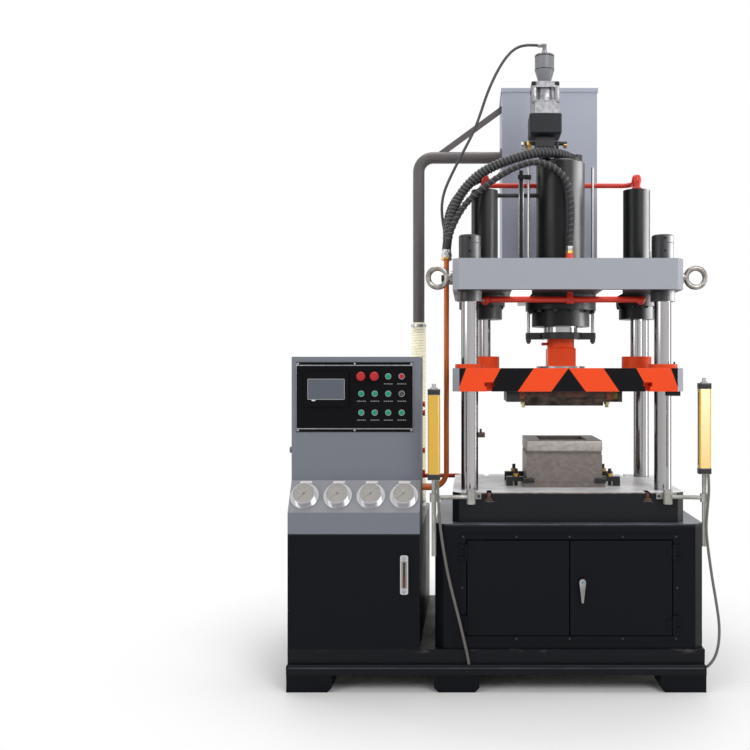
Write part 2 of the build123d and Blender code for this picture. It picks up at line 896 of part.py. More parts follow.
def die_clamps():
    clamps = []
    nose = -die_half - fit
    base = bed_top + die_base
    stud_x = nose - strap_length / 2
    for y in (-strap_y, strap_y):
        span = (y - strap_width / 2, y + strap_width / 2)
        clamp = block((nose - strap_length, nose), span, (base, base + strap_height))
        clamp += block((nose - strap_length, nose - strap_length + strap_step), span, (bed_top, base))
        clamp += post(strap_stud, (stud_x, y), (bed_top, base + strap_height + strap_stud_rise))
        nut = Pos(stud_x, y, base + strap_height) * extrude(RegularPolygon(strap_nut, 6), strap_nut_height)
        clamps += mirrored(clamp + nut)
    return solids(*clamps)


def drive_neck():
    place = (drive_x, 0)
    neck = post(neck_radius, place, (main_top, drive_low))
    high = drive_low - valve_drop
    neck += block((drive_x - valve_width / 2, drive_x + valve_width / 2),
                  (-valve_depth / 2, valve_depth / 2), (high - valve_height, high))
    z = high - valve_height / 2
    return neck + bar(port_radius, (drive_x - port_reach, 0, z), (drive_x + port_reach, 0, z))


def drive_gearbox():
    half = gearbox_side / 2
    box = block((drive_x - half, drive_x + half), (-half, half), (drive_low, motor_low))
    return chamfer(box.edges(), gearbox_chamfer)


def drive_motor():
    half = motor_side / 2
    body = Pos(drive_x, 0, 0) * slab(half, half, motor_corner, (motor_low, cup_low))
    waist = (motor_low + motor_waist_low, motor_low + motor_waist_low + motor_waist)
    core = post(motor_core, (drive_x, 0), waist)
    window = half - motor_corner
    cut = block((drive_x - window, drive_x + window), (-half - overrun, half + overrun), waist)
    cut += block((drive_x - half - overrun, drive_x + half + overrun), (-window, window), waist)
    return body - cut + core


def encoder_cup():
    neck_top = cup_low + cup_neck
    taper_top = neck_top + cup_taper
    gland_top = cup_top + cup_gland
    cup = turned([
        (0, cup_low), (cup_neck_radius, cup_low), (cup_neck_radius, neck_top), (cup_radius, taper_top),
        (cup_radius, cup_top), (cup_gland_radius, cup_top), (plug_radius, gland_top), (0, gland_top)],
        (drive_x, 0))
    return cup + bar(plug_radius, (drive_x + plug_radius, 0, plug_z), (drive_x - plug_length, 0, plug_z))


def shell_tank(x, y, z):
    """A tank open at the top."""
    inner = block((x[0] + tank_wall, x[1] - tank_wall), (y[0] + tank_wall, y[1] - tank_wall),
                  (z[0] + tank_wall, z[1] + overrun))
    return block(x, y, z) - inner


def top_tank():
    x = (top_tank_left, top_tank_left + top_tank_width)
    y = (top_tank_front, top_tank_front + top_tank_depth)
    tank = shell_tank(x, y, (top_tank_floor, top_tank_rim))
    for left in (x[0] + bracket_inset, x[1] - bracket_inset - bracket_width):
        span = (left, left + bracket_width)
        tank += block(span, (plate_half_depth, top_tank_front),
                      (top_tank_floor - bracket_thickness, crown_top))
        tank += block(span, (plate_half_depth, y[1]), (top_tank_floor - bracket_thickness, top_tank_floor))
    return tank


def top_tank_lid():
    x = (top_tank_left - lid_overhang, top_tank_left + top_tank_width + lid_overhang)
    y = (top_tank_front - lid_overhang, top_tank_front + top_tank_depth + lid_overhang)
    return block(x, y, (top_tank_rim, top_tank_rim + lid_thickness))


def overflow_pipe():
    start = (top_tank_left, pipe_y, pipe_z)
    pipe = tube([start, (pipe_x, pipe_y, pipe_z), (pipe_x, pipe_y, pipe_end)], pipe_radius, pipe_bend)
    pipe += bar(pipe_flange_radius, start, (top_tank_left - pipe_flange, pipe_y, pipe_z))
    head = Vector(top_tank_left, pipe_y, top_tank_rim - brace_drop)
    foot = Vector(pipe_x + brace_foot, pipe_y, pipe_z + pipe_radius / 2)
    way = head - foot
    reach = Box(brace_width, brace_thickness, way.length + brace_width,
                align=(Align.CENTER, Align.CENTER, Align.MIN))
    brace = Plane(origin=foot, x_dir=way.cross(Vector(0, 1, 0)), z_dir=way) * reach
    wall = block((top_tank_left, top_tank_left + top_tank_width),
                 (pipe_y - brace_width, pipe_y + brace_width),
                 (pipe_z, top_tank_rim + top_tank_height))
    return pipe + (brace - wall)


def overflow_hose():
    z = (unit_top + fit, pipe_end + hose_lap)
    return ring(hose_radius, pipe_radius + fit, (pipe_x, pipe_y), z)


def feed_pipes():
    end = manifold_x + fit
    return solids(*[tube([(feed_x, y, feed_top), (feed_x, y, feed_low), (end, y, feed_low)],
                         feed_radius, feed_bend) for y in feed_places])


def pipe_clamp():
    z = (crown_top - clamp_drop - clamp_height, crown_top - clamp_drop)
    plate = block((feed_x - clamp_margin, -plate_half),
                  (feed_places[0] - clamp_margin, conduit_y + clamp_margin), z)
    plate -= bores([(feed_x, y) for y in feed_places], feed_radius + fit, z)
    return plate + post(conduit_radius, (feed_x, conduit_y), (z[1], feed_top + ferrule_length))


def end_stub(route, radius, length):
    """A ferrule in line with the last run of a hose, face to face with its end."""
    end = Vector(*route[-1])
    way = (end - Vector(*route[-2])).normalized()
    return bar(radius, end + way * fit, end + way * (fit + length))


def hose_fittings():
    z = (feed_top, feed_top + ferrule_length)
    radii = (ferrule_radius, ferrule_large, ferrule_radius)
    parts = [post(radius, (feed_x, y), z) for radius, y in zip(radii, feed_places)]
    parts.append(post(ferrule_radius, (-return_x, 0), (return_top, return_top + return_ferrule))
                 + end_stub(return_hose_route, return_stub_radius, return_stub))
    parts.append(post(ferrule_radius, (return_x, 0), (return_top, return_top + return_ferrule)))
    parts.append(post(head_fitting_radius, (head_fitting_x, head_fitting_y),
                      (main_top, main_top + head_fitting))
                 + end_stub(main_hose_route, head_stub_radius, head_stub))
    parts.append(post(ferrule_radius, (riser_x, lower_pipe_y), (crown_top, crown_top + front_ferrule)))
    return solids(*parts)


def oil_tank():
    return shell_tank((unit_left, unit_right), (-tank_front, tank_rear), (skid_top, tank_top))


def oil_tank_lid():
    lid = block((unit_left, unit_right), (-tank_front, tank_rear), (tank_top, unit_top))
    return lid + post(pipe_radius, (pipe_x, pipe_y), (unit_top, unit_top + spigot))


def console():
    low = unit_top
    slope = low + console_low
    points = [(-tank_front, low), (-tank_front, slope), (console_front, slope + console_slope_rise),
              (console_front, console_top), (console_back, console_top), (console_back, low)]
    outline = Plane.YZ.offset(unit_left) * make_face(Polyline(*points, close=True))
    box = extrude(outline, tank_width, dir=(1, 0, 0))
    z = unit_top + console_gland_rise
    return box + bar(console_gland_radius, (unit_left, console_gland_y, z),
                     (unit_left - console_gland, console_gland_y, z))


def control_panel():
    return block(panel_x, (panel_face, console_front), (panel_top - panel_height, panel_top))


def touch_screen():
    x = (panel_x[0] + screen_inset, panel_x[0] + screen_inset + screen_width)
    z = (panel_top - screen_drop - screen_height, panel_top - screen_drop)
    face = panel_face - screen_thickness
    middle_x, middle_z = (x[0] + x[1]) / 2, (z[0] + z[1]) / 2
    window = block((middle_x - display_width / 2, middle_x + display_width / 2),
                   (face - overrun, face + display_depth),
                   (middle_z - display_height / 2, middle_z + display_height / 2))
    return block(x, (face, panel_face), z) - window


def push_button(x, z, mushroom):
    face = panel_face - button_ring_height
    button = bar(button_ring, (x, panel_face, z), (x, face, z))
    if mushroom:
        neck = face - mushroom_neck
        button += bar(button_cap, (x, face, z), (x, neck, z))
        return button + bar(mushroom_radius, (x, neck, z), (x, neck - mushroom_height, z))
    return button + bar(button_cap, (x, face, z), (x, face - button_cap_height, z))


def panel_buttons():
    buttons = []
    for row, drop in enumerate((button_first_drop, button_second_drop, button_third_drop)):
        for column in range(4):
            x = panel_x[1] - button_right - (3 - column) * button_pitch
            buttons.append(push_button(x, panel_top - drop, row == 0 and column < 2))
    return solids(*buttons)


def gauge(x):
    slope_y, slope_z = console_slope_back, console_slope_rise
    middle = (x, -tank_front + slope_y / 2, unit_top + console_low + slope_z / 2)
    case = Cylinder(gauge_flange_radius, gauge_flange, align=(Align.CENTER, Align.CENTER, Align.MIN))
    case += Cylinder(gauge_radius, gauge_depth, align=(Align.CENTER, Align.CENTER, Align.MIN))
    case -= Pos(0, 0, gauge_depth - gauge_face_depth) * Cylinder(
        gauge_radius - gauge_lip, gauge_face_depth, align=(Align.CENTER, Align.CENTER, Align.MIN))
    return Plane(origin=middle, x_dir=(1, 0, 0), z_dir=(0, -slope_z, slope_y)) * case


def gauges():
    dials = [gauge(unit_left + gauge_inset + i * gauge_pitch) for i in range(4)]
    x = (unit_right - level_right - level_width, unit_right - level_right)
    z = (skid_top + level_low, skid_top + level_low + level_height)
    level = block(x, (-tank_front - level_depth, -tank_front), z)
    level = fillet(level.edges().filter_by(Axis.Y), level_width / 4)
    return solids(*dials, level)


def valve_manifold():
    x = (manifold_x - manifold_width, manifold_x)
    back = manifold_y + manifold_depth
    body = block(x, (manifold_y, back), (unit_top, unit_top + manifold_height))
    middle = (x[0] + x[1]) / 2
    half = valve_body_width / 2
    for i in range(valve_count):
        z = unit_top + valve_first + i * valve_pitch
        body += block((middle - half, middle + half), (back, back + valve_body_depth),
                      (z - valve_body_height / 2, z + valve_body_height / 2))
        y = back + valve_body_depth / 2
        body += bar(solenoid_radius, (middle - half - solenoid_length, y, z),
                    (middle + half + solenoid_length, y, z))
    return body


def pump_motor():
    place = (pump_x, pump_y)
    body_low = unit_top + bell_height
    body_high = body_low + pump_height
    pump = post(bell_radius, place, (unit_top, body_low)) + post(pump_radius, place, (body_low, body_high))
    for i in range(fin_count):
        fin = block((pump_radius - fin_height, pump_radius + fin_height),
                    (-fin_thickness / 2, fin_thickness / 2), (body_low, body_high))
        pump += Pos(pump_x, pump_y, 0) * Rot(0, 0, 360 * i / fin_count) * fin
    cowl = post(pump_radius + fin_height, place, (body_high, body_high + cowl_height))
    pump += fillet(cowl.edges().group_by(Axis.Z)[-1], cowl_round)
    reach = pump_x + pump_radius
    box_low = body_low + (pump_height - terminal_height) / 2
    return pump + block((reach, reach + terminal_depth),
                        (pump_y - terminal_width / 2, pump_y + terminal_width / 2),
                        (box_low, box_low + terminal_height))


def manifold_pipes():
    y = manifold_y + manifold_depth - stub_behind
    heights = [unit_top + rise for rise in stub_rises]
    pipes = [bar(stub_radius, (manifold_x, y, z), (manifold_x + stub_length, y, z)) for z in heights]
    pipes.append(tube([(drain_start, drain_y, unit_top), (drain_start, drain_y, feed_low),
                       (drain_end, drain_y, feed_low), (drain_end, drain_y, cabinet_top)],
                      drain_radius, drain_bend))
    return solids(*pipes)


def curtain_block(x, low, high):
    half_x, half_y = curtain_width / 2, curtain_depth / 2
    body = block((x - half_x, x + half_x), (curtain_y - half_y, curtain_y + half_y), (low, high))
    return fillet(body.edges().filter_by(Axis.Z), curtain_round)


def light_curtains():
    return solids(*[curtain_block(x, low, low + curtain_height) for x, low, _, _ in curtain_sides])


def curtain_posts():
    parts = []
    for x, low, length, swivel in curtain_sides:
        high = low + curtain_height
        place = (x, curtain_y)
        parts.append(curtain_block(x, high, high + cap_height)
                     + post(stud_radius, place, (high + cap_height, high + cap_height + stud_height)))
        stand = curtain_block(x, low - cap_height, low)
        stand += post(post_radius, place, (low - cap_height - length, low - cap_height))
        stand += post(clamp_radius, place, (arm_z - clamp_length / 2, arm_z + clamp_length / 2))
        stand += bar(arm_radius, (x, curtain_y, arm_z), (swivel, swivel_y, arm_z))
        stand += post(swivel_radius, (swivel, swivel_y),
                      (arm_z - swivel_height / 2, arm_z + swivel_height / 2))
        stand += block((swivel - swivel_radius / 2, swivel + swivel_radius / 2),
                       (swivel_y, -plate_half_depth), (arm_z - ear_height / 2, arm_z + ear_height / 2))
        stand += block((swivel - ear_width / 2, swivel + ear_width / 2),
                       (-plate_half_depth - ear_thickness, -plate_half_depth),
                       (arm_z - ear_height / 2, arm_z + ear_height / 2))
        parts.append(stand)
    return solids(*parts)


pieces = {
    "skid_feet": skid_feet, "skid": skid, "cabinet_sides": cabinet_sides, "cabinet_back": cabinet_back,
    "cabinet_front": cabinet_front, "cabinet_top": cabinet_lid, "left_door": door_leaf,
    "right_door": right_door, "door_handle": door_handle, "bed": bed, "columns": columns,
    "column_nuts": column_nuts, "crown": crown, "eye_bolts": eye_bolts, "work_lamps": work_lamps,
    "main_cylinder": main_cylinder, "return_cylinders": return_cylinders, "return_pipes": return_pipes,
    "main_ram": main_ram, "ram_yoke": ram_yoke, "guide_rods": guide_rods, "ram_coupling": ram_coupling,
    "coupling_seat": coupling_seat, "slide": slide, "slide_flanges": slide_flanges,
    "return_rods": return_rods, "upper_die": upper_die, "lower_die": lower_die, "die_clamps": die_clamps,
    "drive_neck": drive_neck, "drive_gearbox": drive_gearbox, "drive_motor": drive_motor,
    "encoder_cup": encoder_cup, "top_tank": top_tank, "top_tank_lid": top_tank_lid,
    "overflow_pipe": overflow_pipe, "overflow_hose": overflow_hose, "feed_pipes": feed_pipes,
    "pipe_clamp": pipe_clamp, "hose_fittings": hose_fittings, "oil_tank": oil_tank,
    "oil_tank_lid": oil_tank_lid, "console": console, "control_panel": control_panel,
    "touch_screen": touch_screen, "panel_buttons": panel_buttons, "gauges": gauges,
    "valve_manifold": valve_manifold, "pump_motor": pump_motor, "manifold_pipes": manifold_pipes,
    "light_curtains": light_curtains, "curtain_posts": curtain_posts,
}
cords = {
    "main_hose": (main_hose_route, main_hose_diameter),
    "front_hose": (front_hose_route, front_hose_diameter),
    "return_hose": (return_hose_route, return_hose_diameter),
    "drive_cable": (drive_cable_route, drive_cable_diameter),
    "left_curtain_cable": (left_cable_route, curtain_cable_diameter),
    "right_curtain_cable": (right_cable_route, curtain_cable_diameter),
}


def export(name, shape):
    placed = [solid.moved(Pos(-centre_x, -centre_y, 0)) for solid in shape.solids()]
    export_step(Compound(placed), f"parts/{name}.step")


os.makedirs("parts", exist_ok=True)
for name, make in pieces.items():
    export(name, make())
for name, (route, diameter) in cords.items():
    export(name, cord(name, route, diameter))
print(f"press axis in the part's frame: {-centre_x:.2f}, {-centre_y:.2f}")
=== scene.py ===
"""Looks of the four-column press: finishes, hoses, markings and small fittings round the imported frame.

Lengths are millimetres in the press frame, unless a comment says metres: x to the right of the press
axis, y behind it, z above the floor. place() turns them into metres in the row frame.
"""
from math import cos, pi, radians, sin, tau

import bmesh
import bpy
from mathutils import Matrix, Vector


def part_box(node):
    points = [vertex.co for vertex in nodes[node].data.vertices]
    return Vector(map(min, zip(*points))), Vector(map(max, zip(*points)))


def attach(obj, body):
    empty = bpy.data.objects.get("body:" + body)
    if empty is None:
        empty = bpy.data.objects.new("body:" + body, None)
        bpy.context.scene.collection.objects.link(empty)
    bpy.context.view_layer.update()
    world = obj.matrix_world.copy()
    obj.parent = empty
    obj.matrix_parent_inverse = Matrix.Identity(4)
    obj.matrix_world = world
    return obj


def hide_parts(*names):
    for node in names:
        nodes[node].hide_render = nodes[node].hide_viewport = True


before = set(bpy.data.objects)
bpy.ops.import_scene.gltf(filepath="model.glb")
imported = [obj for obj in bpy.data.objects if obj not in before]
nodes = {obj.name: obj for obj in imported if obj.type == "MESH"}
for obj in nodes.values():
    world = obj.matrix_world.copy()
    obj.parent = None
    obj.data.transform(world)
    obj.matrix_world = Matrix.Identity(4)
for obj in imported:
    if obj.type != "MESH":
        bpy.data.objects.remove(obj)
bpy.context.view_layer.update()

slide_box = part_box("slide")
axis_x = (slide_box[0][0] + slide_box[1][0]) / 2
axis_y = (slide_box[0][1] + slide_box[1][1]) / 2

up, down, toward, backward, leftward, rightward = (
    (0, 0, 1), (0, 0, -1), (0, -1, 0), (0, 1, 0), (-1, 0, 0), (1, 0, 0))
sides = (-1, 1)
rectangle = ((-1, -1), (1, -1), (1, 1), (-1, 1))


def place(x, y, z):
    """A point of the press frame, in metres in the row frame."""
    return Vector((axis_x + x / 1000, axis_y + y / 1000, z / 1000))


def corners(node):
    """A node's box in the press frame: (low, high)."""
    return tuple(Vector(((c[0] - axis_x) * 1000, (c[1] - axis_y) * 1000, c[2] * 1000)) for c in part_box(node))


def span(middle, half):
    return (middle - half, middle + half)


# Boxes of the nodes that carry small pieces, and the T-slots in bed and slide

slide_low, slide_high = corners("slide")
main_high = corners("main_cylinder")[1]
crown_low, crown_high = corners("crown")
return_top = corners("return_cylinders")[1].z
bed_low, bed_high = corners("bed")
bed_top = bed_high.z
tank_low, tank_high = corners("oil_tank")
slot_x, slot_neck, slot_head = 345.0, 22.0, 40.0
slot_neck_depth, slot_depth = 22.0, 40.0


# Shader parts: owner is a material or the world

def srgb(colour):
    """A colour as seen on a screen, 0 to 255, as linear light."""
    def linear(v):
        v /= 255
        return v / 12.92 if v <= 0.04045 else ((v + 0.055) / 1.055) ** 2.4
    return (*map(linear, colour), 1.0)


looks = {}


def finish(name, colour, rough, metal=0.0, coat=0.0, gloss=0.5, alpha=1.0):
    """A plain material, kept in looks under its name."""
    mat = looks[name] = bpy.data.materials.new(name)
    mat.use_nodes = True
    for socket, value in (("Base Color", colour), ("Roughness", rough), ("Metallic", metal),
                          ("Specular IOR Level", gloss), ("Coat Weight", coat), ("Coat Roughness", 0.15),
                          ("Alpha", alpha)):
        feed(mat, socket, value)
    return mat


def add_node(owner, kind, **values):
    node = owner.node_tree.nodes.new(kind)
    for key, value in values.items():
        setattr(node, key, value)
    return node


def join(owner, value, socket):
    """Links a socket to another one, or sets it to a number, a screen colour or a linear one with alpha."""
    if isinstance(value, bpy.types.NodeSocket):
        owner.node_tree.links.new(value, socket)
    elif isinstance(value, tuple) and len(value) == 3:
        socket.default_value = srgb(value)
    else:
        socket.default_value = value


def feed(mat, socket, value):
    """Joins a value to the material's shader."""
    join(mat, value, mat.node_tree.nodes["Principled BSDF"].inputs[socket])


def maths(owner, operation, first, second=0.0):
    node = add_node(owner, "ShaderNodeMath", operation=operation)
    join(owner, first, node.inputs[0])
    join(owner, second, node.inputs[1])
    return node.outputs["Value"]


def between(owner, value, low, high, first=0, last=1, shape="LINEAR"):
    """Maps a value from low..high to first..last."""
    ramp = add_node(owner, "ShaderNodeMapRange", interpolation_type=shape)
    for socket, number in zip(("From Min", "From Max", "To Min", "To Max"), (low, high, first, last)):
        ramp.inputs[socket].default_value = number
    join(owner, value, ramp.inputs["Value"])
    return ramp.outputs["Result"]


def blended(owner, factor, first, second, kind="RGBA"):
    """A mix of two colours, or with kind FLOAT of two numbers."""
    mix = add_node(owner, "ShaderNodeMix", data_type=kind)
    join(owner, factor, mix.inputs["Factor"])
    join(owner, first, mix.inputs["A"])
    join(owner, second, mix.inputs["B"])
    return mix.outputs["Result"]


def along(owner, vector, axis):
    """A vector's share along an axis."""
    split = add_node(owner, "ShaderNodeSeparateXYZ")
    join(owner, vector, split.inputs["Vector"])
    return split.outputs[axis]


def facing(mat, axis):
    """How far a face looks along an axis, -1 to 1."""
    return along(mat, add_node(mat, "ShaderNodeNewGeometry").outputs["Normal"], axis)


def standing(mat, axis):
    """A point's place along an axis, in metres."""
    return along(mat, add_node(mat, "ShaderNodeTexCoord").outputs["Object"], axis)


def noise(mat, scale, stretch=(1, 1, 1), detail=4.0):
    """A noise value fixed to the piece, coarser where stretch is small."""
    mapping = add_node(mat, "ShaderNodeMapping")
    mapping.inputs["Scale"].default_value = stretch
    texture = add_node(mat, "ShaderNodeTexNoise")
    texture.inputs["Scale"].default_value = scale
    texture.inputs["Detail"].default_value = detail
    join(mat, add_node(mat, "ShaderNodeTexCoord").outputs["Object"], mapping.inputs["Vector"])
    join(mat, mapping.outputs["Vector"], texture.inputs["Vector"])
    return texture.outputs["Fac"]


def uneven(mat, cloud, rough, less, more):
    """Roughness that follows a noise value."""
    feed(mat, "Roughness", between(mat, cloud, 0.3, 0.7, rough - less, rough + more))


def seen_rays(owner):
    """One for rays that show the background: straight, mirrored or through glass."""
    path = add_node(owner, "ShaderNodeLightPath")
    value = path.outputs["Is Camera Ray"]
    for kind in ("Is Glossy Ray", "Is Transmission Ray"):
        value = maths(owner, "MAXIMUM", value, path.outputs[kind])
    return value


# Kinds of finish

def paint(name, colour, rough, coat=0.0, gloss=0.35):
    """Sprayed paint: slight mottling of gloss and a faint orange peel."""
    mat = finish(name, colour, rough, coat=coat, gloss=gloss)
    mottle, peel, peel_depth = 0.06, 0.04, 0.001
    uneven(mat, noise(mat, 6.0), rough, mottle, mottle)
    bump = add_node(mat, "ShaderNodeBump")
    bump.inputs["Strength"].default_value = peel
    bump.inputs["Distance"].default_value = peel_depth
    join(mat, noise(mat, 260.0, detail=2.0), bump.inputs["Height"])
    feed(mat, "Normal", bump.outputs["Normal"])
    return mat


def steel(name, light, dark, rough, scale=18.0, stretch=(1, 1, 1), metal=1.0):
    """Bare metal with two tones and an uneven sheen."""
    mat = finish(name, light, rough, metal=metal)
    cloud = noise(mat, scale, stretch, detail=6.0)
    feed(mat, "Base Color", blended(mat, between(mat, cloud, 0.35, 0.65), light, dark))
    uneven(mat, cloud, rough, 0.08, 0.1)


def topped(name, side, top, worn_top, rough_side, rough_top):
    """Paint on the sides and bare metal on faces that look up."""
    mat = finish(name, side, rough_side, gloss=0.2)
    lying = between(mat, facing(mat, "Z"), 0.85, 0.95)
    grain = between(mat, noise(mat, 30.0, (0.25, 1, 1)), 0.35, 0.65)
    feed(mat, "Base Color", blended(mat, lying, side, blended(mat, grain, top, worn_top)))
    feed(mat, "Metallic", between(mat, lying, 0, 1, 0, 0.06))
    feed(mat, "Roughness", between(mat, lying, 0, 1, rough_side, rough_top))


def painted_light_by_facing(name, first, second, rough, low, high):
    """Paint with painted light and shade: it turns from one colour to another as faces look further up,
    between two values.
    """
    mat = paint(name, first, rough)
    feed(mat, "Base Color", blended(mat, between(mat, facing(mat, "Z"), low, high), first, second))


def slotted(name, side, inside, rough, slot, half_width, top):
    """Paint with another colour inside a pair of slots open to the bottom."""
    mat = paint(name, side, rough)
    value = standing(mat, "X")
    for middle in (axis_x, slot / 1000):
        value = maths(mat, "ABSOLUTE", maths(mat, "SUBTRACT", value, middle))
    across = between(mat, value, half_width / 1000 - 0.0001, half_width / 1000, 1, 0)
    below = between(mat, standing(mat, "Z"), top / 1000, top / 1000 + 0.0005, 1, 0)
    feed(mat, "Base Color", blended(mat, maths(mat, "MULTIPLY", across, below), side, inside))


def scuffed(name, colour, mark, rough, low, high):
    """Dark paint with dusty scuffs that begin between two heights."""
    mat = finish(name, colour, rough, gloss=0.15)
    rise = between(mat, standing(mat, "Z"), low / 1000, high / 1000)
    spots = between(mat, noise(mat, 9.0, (1, 1, 3.5), detail=9.0), 0.60, 0.72, 0, 0.55)
    feed(mat, "Base Color", blended(mat, maths(mat, "MULTIPLY", rise, spots), colour, mark))
    uneven(mat, noise(mat, 5.0), rough, 0.08, 0.08)


def ended(name, colour, end, rough, height, bare_above):
    """Bare metal with a black end below a height, or above it where bare_above is 0."""
    mat = finish(name, colour, rough, metal=1.0)
    bare = between(mat, standing(mat, "Z"), height / 1000 - 0.001, height / 1000, 1 - bare_above, bare_above)
    feed(mat, "Base Color", blended(mat, bare, end, colour))
    feed(mat, "Metallic", bare)


def chrome_with_painted_bands(name, colour, rough, stops):
    """Chrome on upright rods with painted reflection bands: (share across, brightness) stops paint into the
    base colour the light and dark bands that polished rods reflect.
    """
    mat = finish(name, colour, rough, metal=1.0)
    ramp = add_node(mat, "ShaderNodeValToRGB")
    while len(ramp.color_ramp.elements) < len(stops):
        ramp.color_ramp.elements.new(0.5)
    for element, (across, level) in zip(ramp.color_ramp.elements, stops):
        element.position = (across + 1) / 2
        element.color = (*(level * part for part in srgb(colour)[:3]), 1)
    join(mat, between(mat, facing(mat, "X"), -1, 1), ramp.inputs["Fac"])
    feed(mat, "Base Color", ramp.outputs["Color"])


def glowing(mat, colour, strength):
    """Adds light of its own to a finish."""
    feed(mat, "Emission Color", colour)
    feed(mat, "Emission Strength", strength)


# Finishes

paint("base_black", (11, 13, 18), 0.42, gloss=0.1)
scuffed("skid_black", (13, 15, 20), (112, 108, 106), 0.45, low=160, high=176)
topped("bed_finish", (15, 17, 22), (252, 254, 255), (216, 216, 218), 0.42, 0.34)
topped("lid_black", (11, 13, 18), (102, 106, 117), (70, 73, 82), 0.42, 0.3)
paint("cylinder_black", (5, 6, 8), 0.36, gloss=0.2)
paint("nut_black", (27, 27, 30), 0.42)
slotted("grey_paint", (150, 153, 161), (236, 74, 30), 0.45, slot_x, slot_head / 2 + 0.5,
        slide_low.z + slot_depth + 0.2)
# Painted shade: faces of the crown that look down are painted dark grey, where the crown's underside lies in
# shade.
painted_light_by_facing("crown_paint_shaded_under", (52, 52, 56), (154, 157, 165), 0.45, -0.95, -0.85)
paint("tank_paint", (158, 162, 176), 0.42)
# Painted light: the console's sloping and upper faces are painted a lighter grey than its sides, for the light
# that falls on them from above.
painted_light_by_facing("console_paint_lit_slope", (111, 115, 124), (138, 139, 144), 0.48, 0.4, 0.5)
paint("pipe_paint", (88, 83, 83), 0.45)
paint("orange_paint", (236, 74, 29), 0.4, gloss=0.2)
paint("hazard_black", (13, 13, 16), 0.45, gloss=0.09)
paint("red_paint", (205, 46, 26), 0.36, coat=0.2)
paint("amber_paint", (204, 98, 12), 0.34, coat=0.06)
feed(paint("yellow_paint", (168, 131, 22), 0.36, coat=0.8), "Coat Roughness", 0.32)
paint("pump_blue", (70, 84, 104), 0.45)
paint("cup_grey", (120, 122, 127), 0.4)
paint("gearbox_black", (22, 24, 29), 0.5, gloss=0.25)

finish("chrome", (182, 182, 185), 0.13, metal=1.0)
# Painted reflections: light and dark bands across the columns, ram and rods, painted into the chrome's colour
# by which way each face looks.
chrome_with_painted_bands("rod_chrome_painted_bands", (174, 172, 173), 0.14, [
    (-1.0, 0.24), (-0.84, 0.34), (-0.7, 0.7), (-0.3, 0.82), (-0.05, 0.92), (0.25, 1.0), (0.5, 1.0),
    (0.62, 0.74), (0.8, 0.5), (0.9, 0.34), (1.0, 0.24)])
finish("gauge_chrome", (190, 190, 193), 0.22, metal=1.0)
steel("bright_steel", (172, 172, 172), (134, 132, 130), 0.3)
ended("rod_steel", (168, 168, 168), (30, 30, 32), 0.3, corners("ram_yoke")[0].z, 1)
ended("fitting_steel", (168, 168, 168), (26, 26, 28), 0.32, main_high.z - 200, 0)
steel("galvanised", (168, 167, 162), (138, 137, 132), 0.45, metal=0.7)
steel("eye_steel", (168, 164, 160), (110, 105, 99), 0.34, scale=30.0)
steel("die_steel", (123, 115, 111), (112, 103, 99), 0.48, scale=60.0, stretch=(0.8, 1, 1.3), metal=0.5)
steel("die_light", (174, 168, 163), (154, 147, 142), 0.42, scale=60.0, stretch=(0.7, 1, 1.3), metal=0.5)
steel("upper_die_steel", (88, 73, 64), (41, 33, 29), 0.55, scale=26.0, stretch=(1, 1, 2), metal=0.6)
steel("brass", (206, 170, 98), (160, 124, 66), 0.3, scale=40.0)
steel("pale_brass", (196, 184, 144), (150, 136, 96), 0.34, scale=40.0)
steel("olive_brass", (138, 112, 58), (72, 58, 36), 0.42, scale=30.0)
steel("aluminium", (148, 148, 151), (126, 126, 129), 0.42, scale=50.0)
steel("rust_orange", (150, 66, 36), (92, 44, 30), 0.55, scale=40.0, metal=0.1)
steel("rust_brown", (92, 56, 42), (52, 38, 32), 0.6, scale=40.0, metal=0.2)
steel("rust_pale", (128, 112, 102), (84, 72, 66), 0.5, scale=30.0, metal=0.4)
# Painted highlights: lighter strips for the light that rounded front edges catch.
steel("highlight_grey", (92, 96, 103), (52, 55, 61), 0.4, scale=9.0, stretch=(1, 1, 0.2), metal=0.2)
steel("highlight_dark", (52, 55, 61), (28, 30, 35), 0.42, scale=9.0, stretch=(1, 1, 0.2), metal=0.2)
finish("screw_steel", (170, 170, 172), 0.35, metal=1.0)
finish("frame_screw", (58, 60, 66), 0.4, metal=0.5)
finish("dark_screw", (70, 70, 74), 0.4, metal=0.6)

finish("rubber", (15, 15, 17), 0.6)
finish("guard_black", (64, 64, 69), 0.36)
finish("cable_sheath", (52, 53, 55), 0.5)
finish("curtain_sheath", (96, 93, 88), 0.5)
finish("panel_black", (10, 10, 13), 0.45, gloss=0.07)
finish("bezel_black", (11, 11, 14), 0.4, gloss=0.07)
finish("display_grey", (78, 84, 95), 0.22)
finish("cap_red", (170, 34, 41), 0.4, gloss=0.3)
finish("cap_green", (4, 140, 104), 0.38, gloss=0.3)
finish("cap_black", (22, 22, 24), 0.4)
finish("label_pale", (128, 128, 132), 0.6)
finish("tag_pale", (214, 213, 210), 0.45)
finish("dial_white", (134, 126, 116), 0.5)
finish("ink_black", (26, 26, 28), 0.5)
finish("lens_dark", (48, 22, 20), 0.12)
finish("blue_dot", (70, 130, 176), 0.4)
finish("rib_pale", (240, 234, 206), 0.5)
glowing(finish("lamp_white", (248, 248, 246), 0.4), (1, 1, 1, 1), 0.9)
# Painted glow: the clear hose gives off light of its own, standing in for the white background seen through
# it.
glowing(finish("clear_hose", (252, 249, 228), 0.25, alpha=0.5), (252, 249, 228), 0.3)
finish("gauge_glass", (240, 242, 244), 0.05, alpha=0.12)

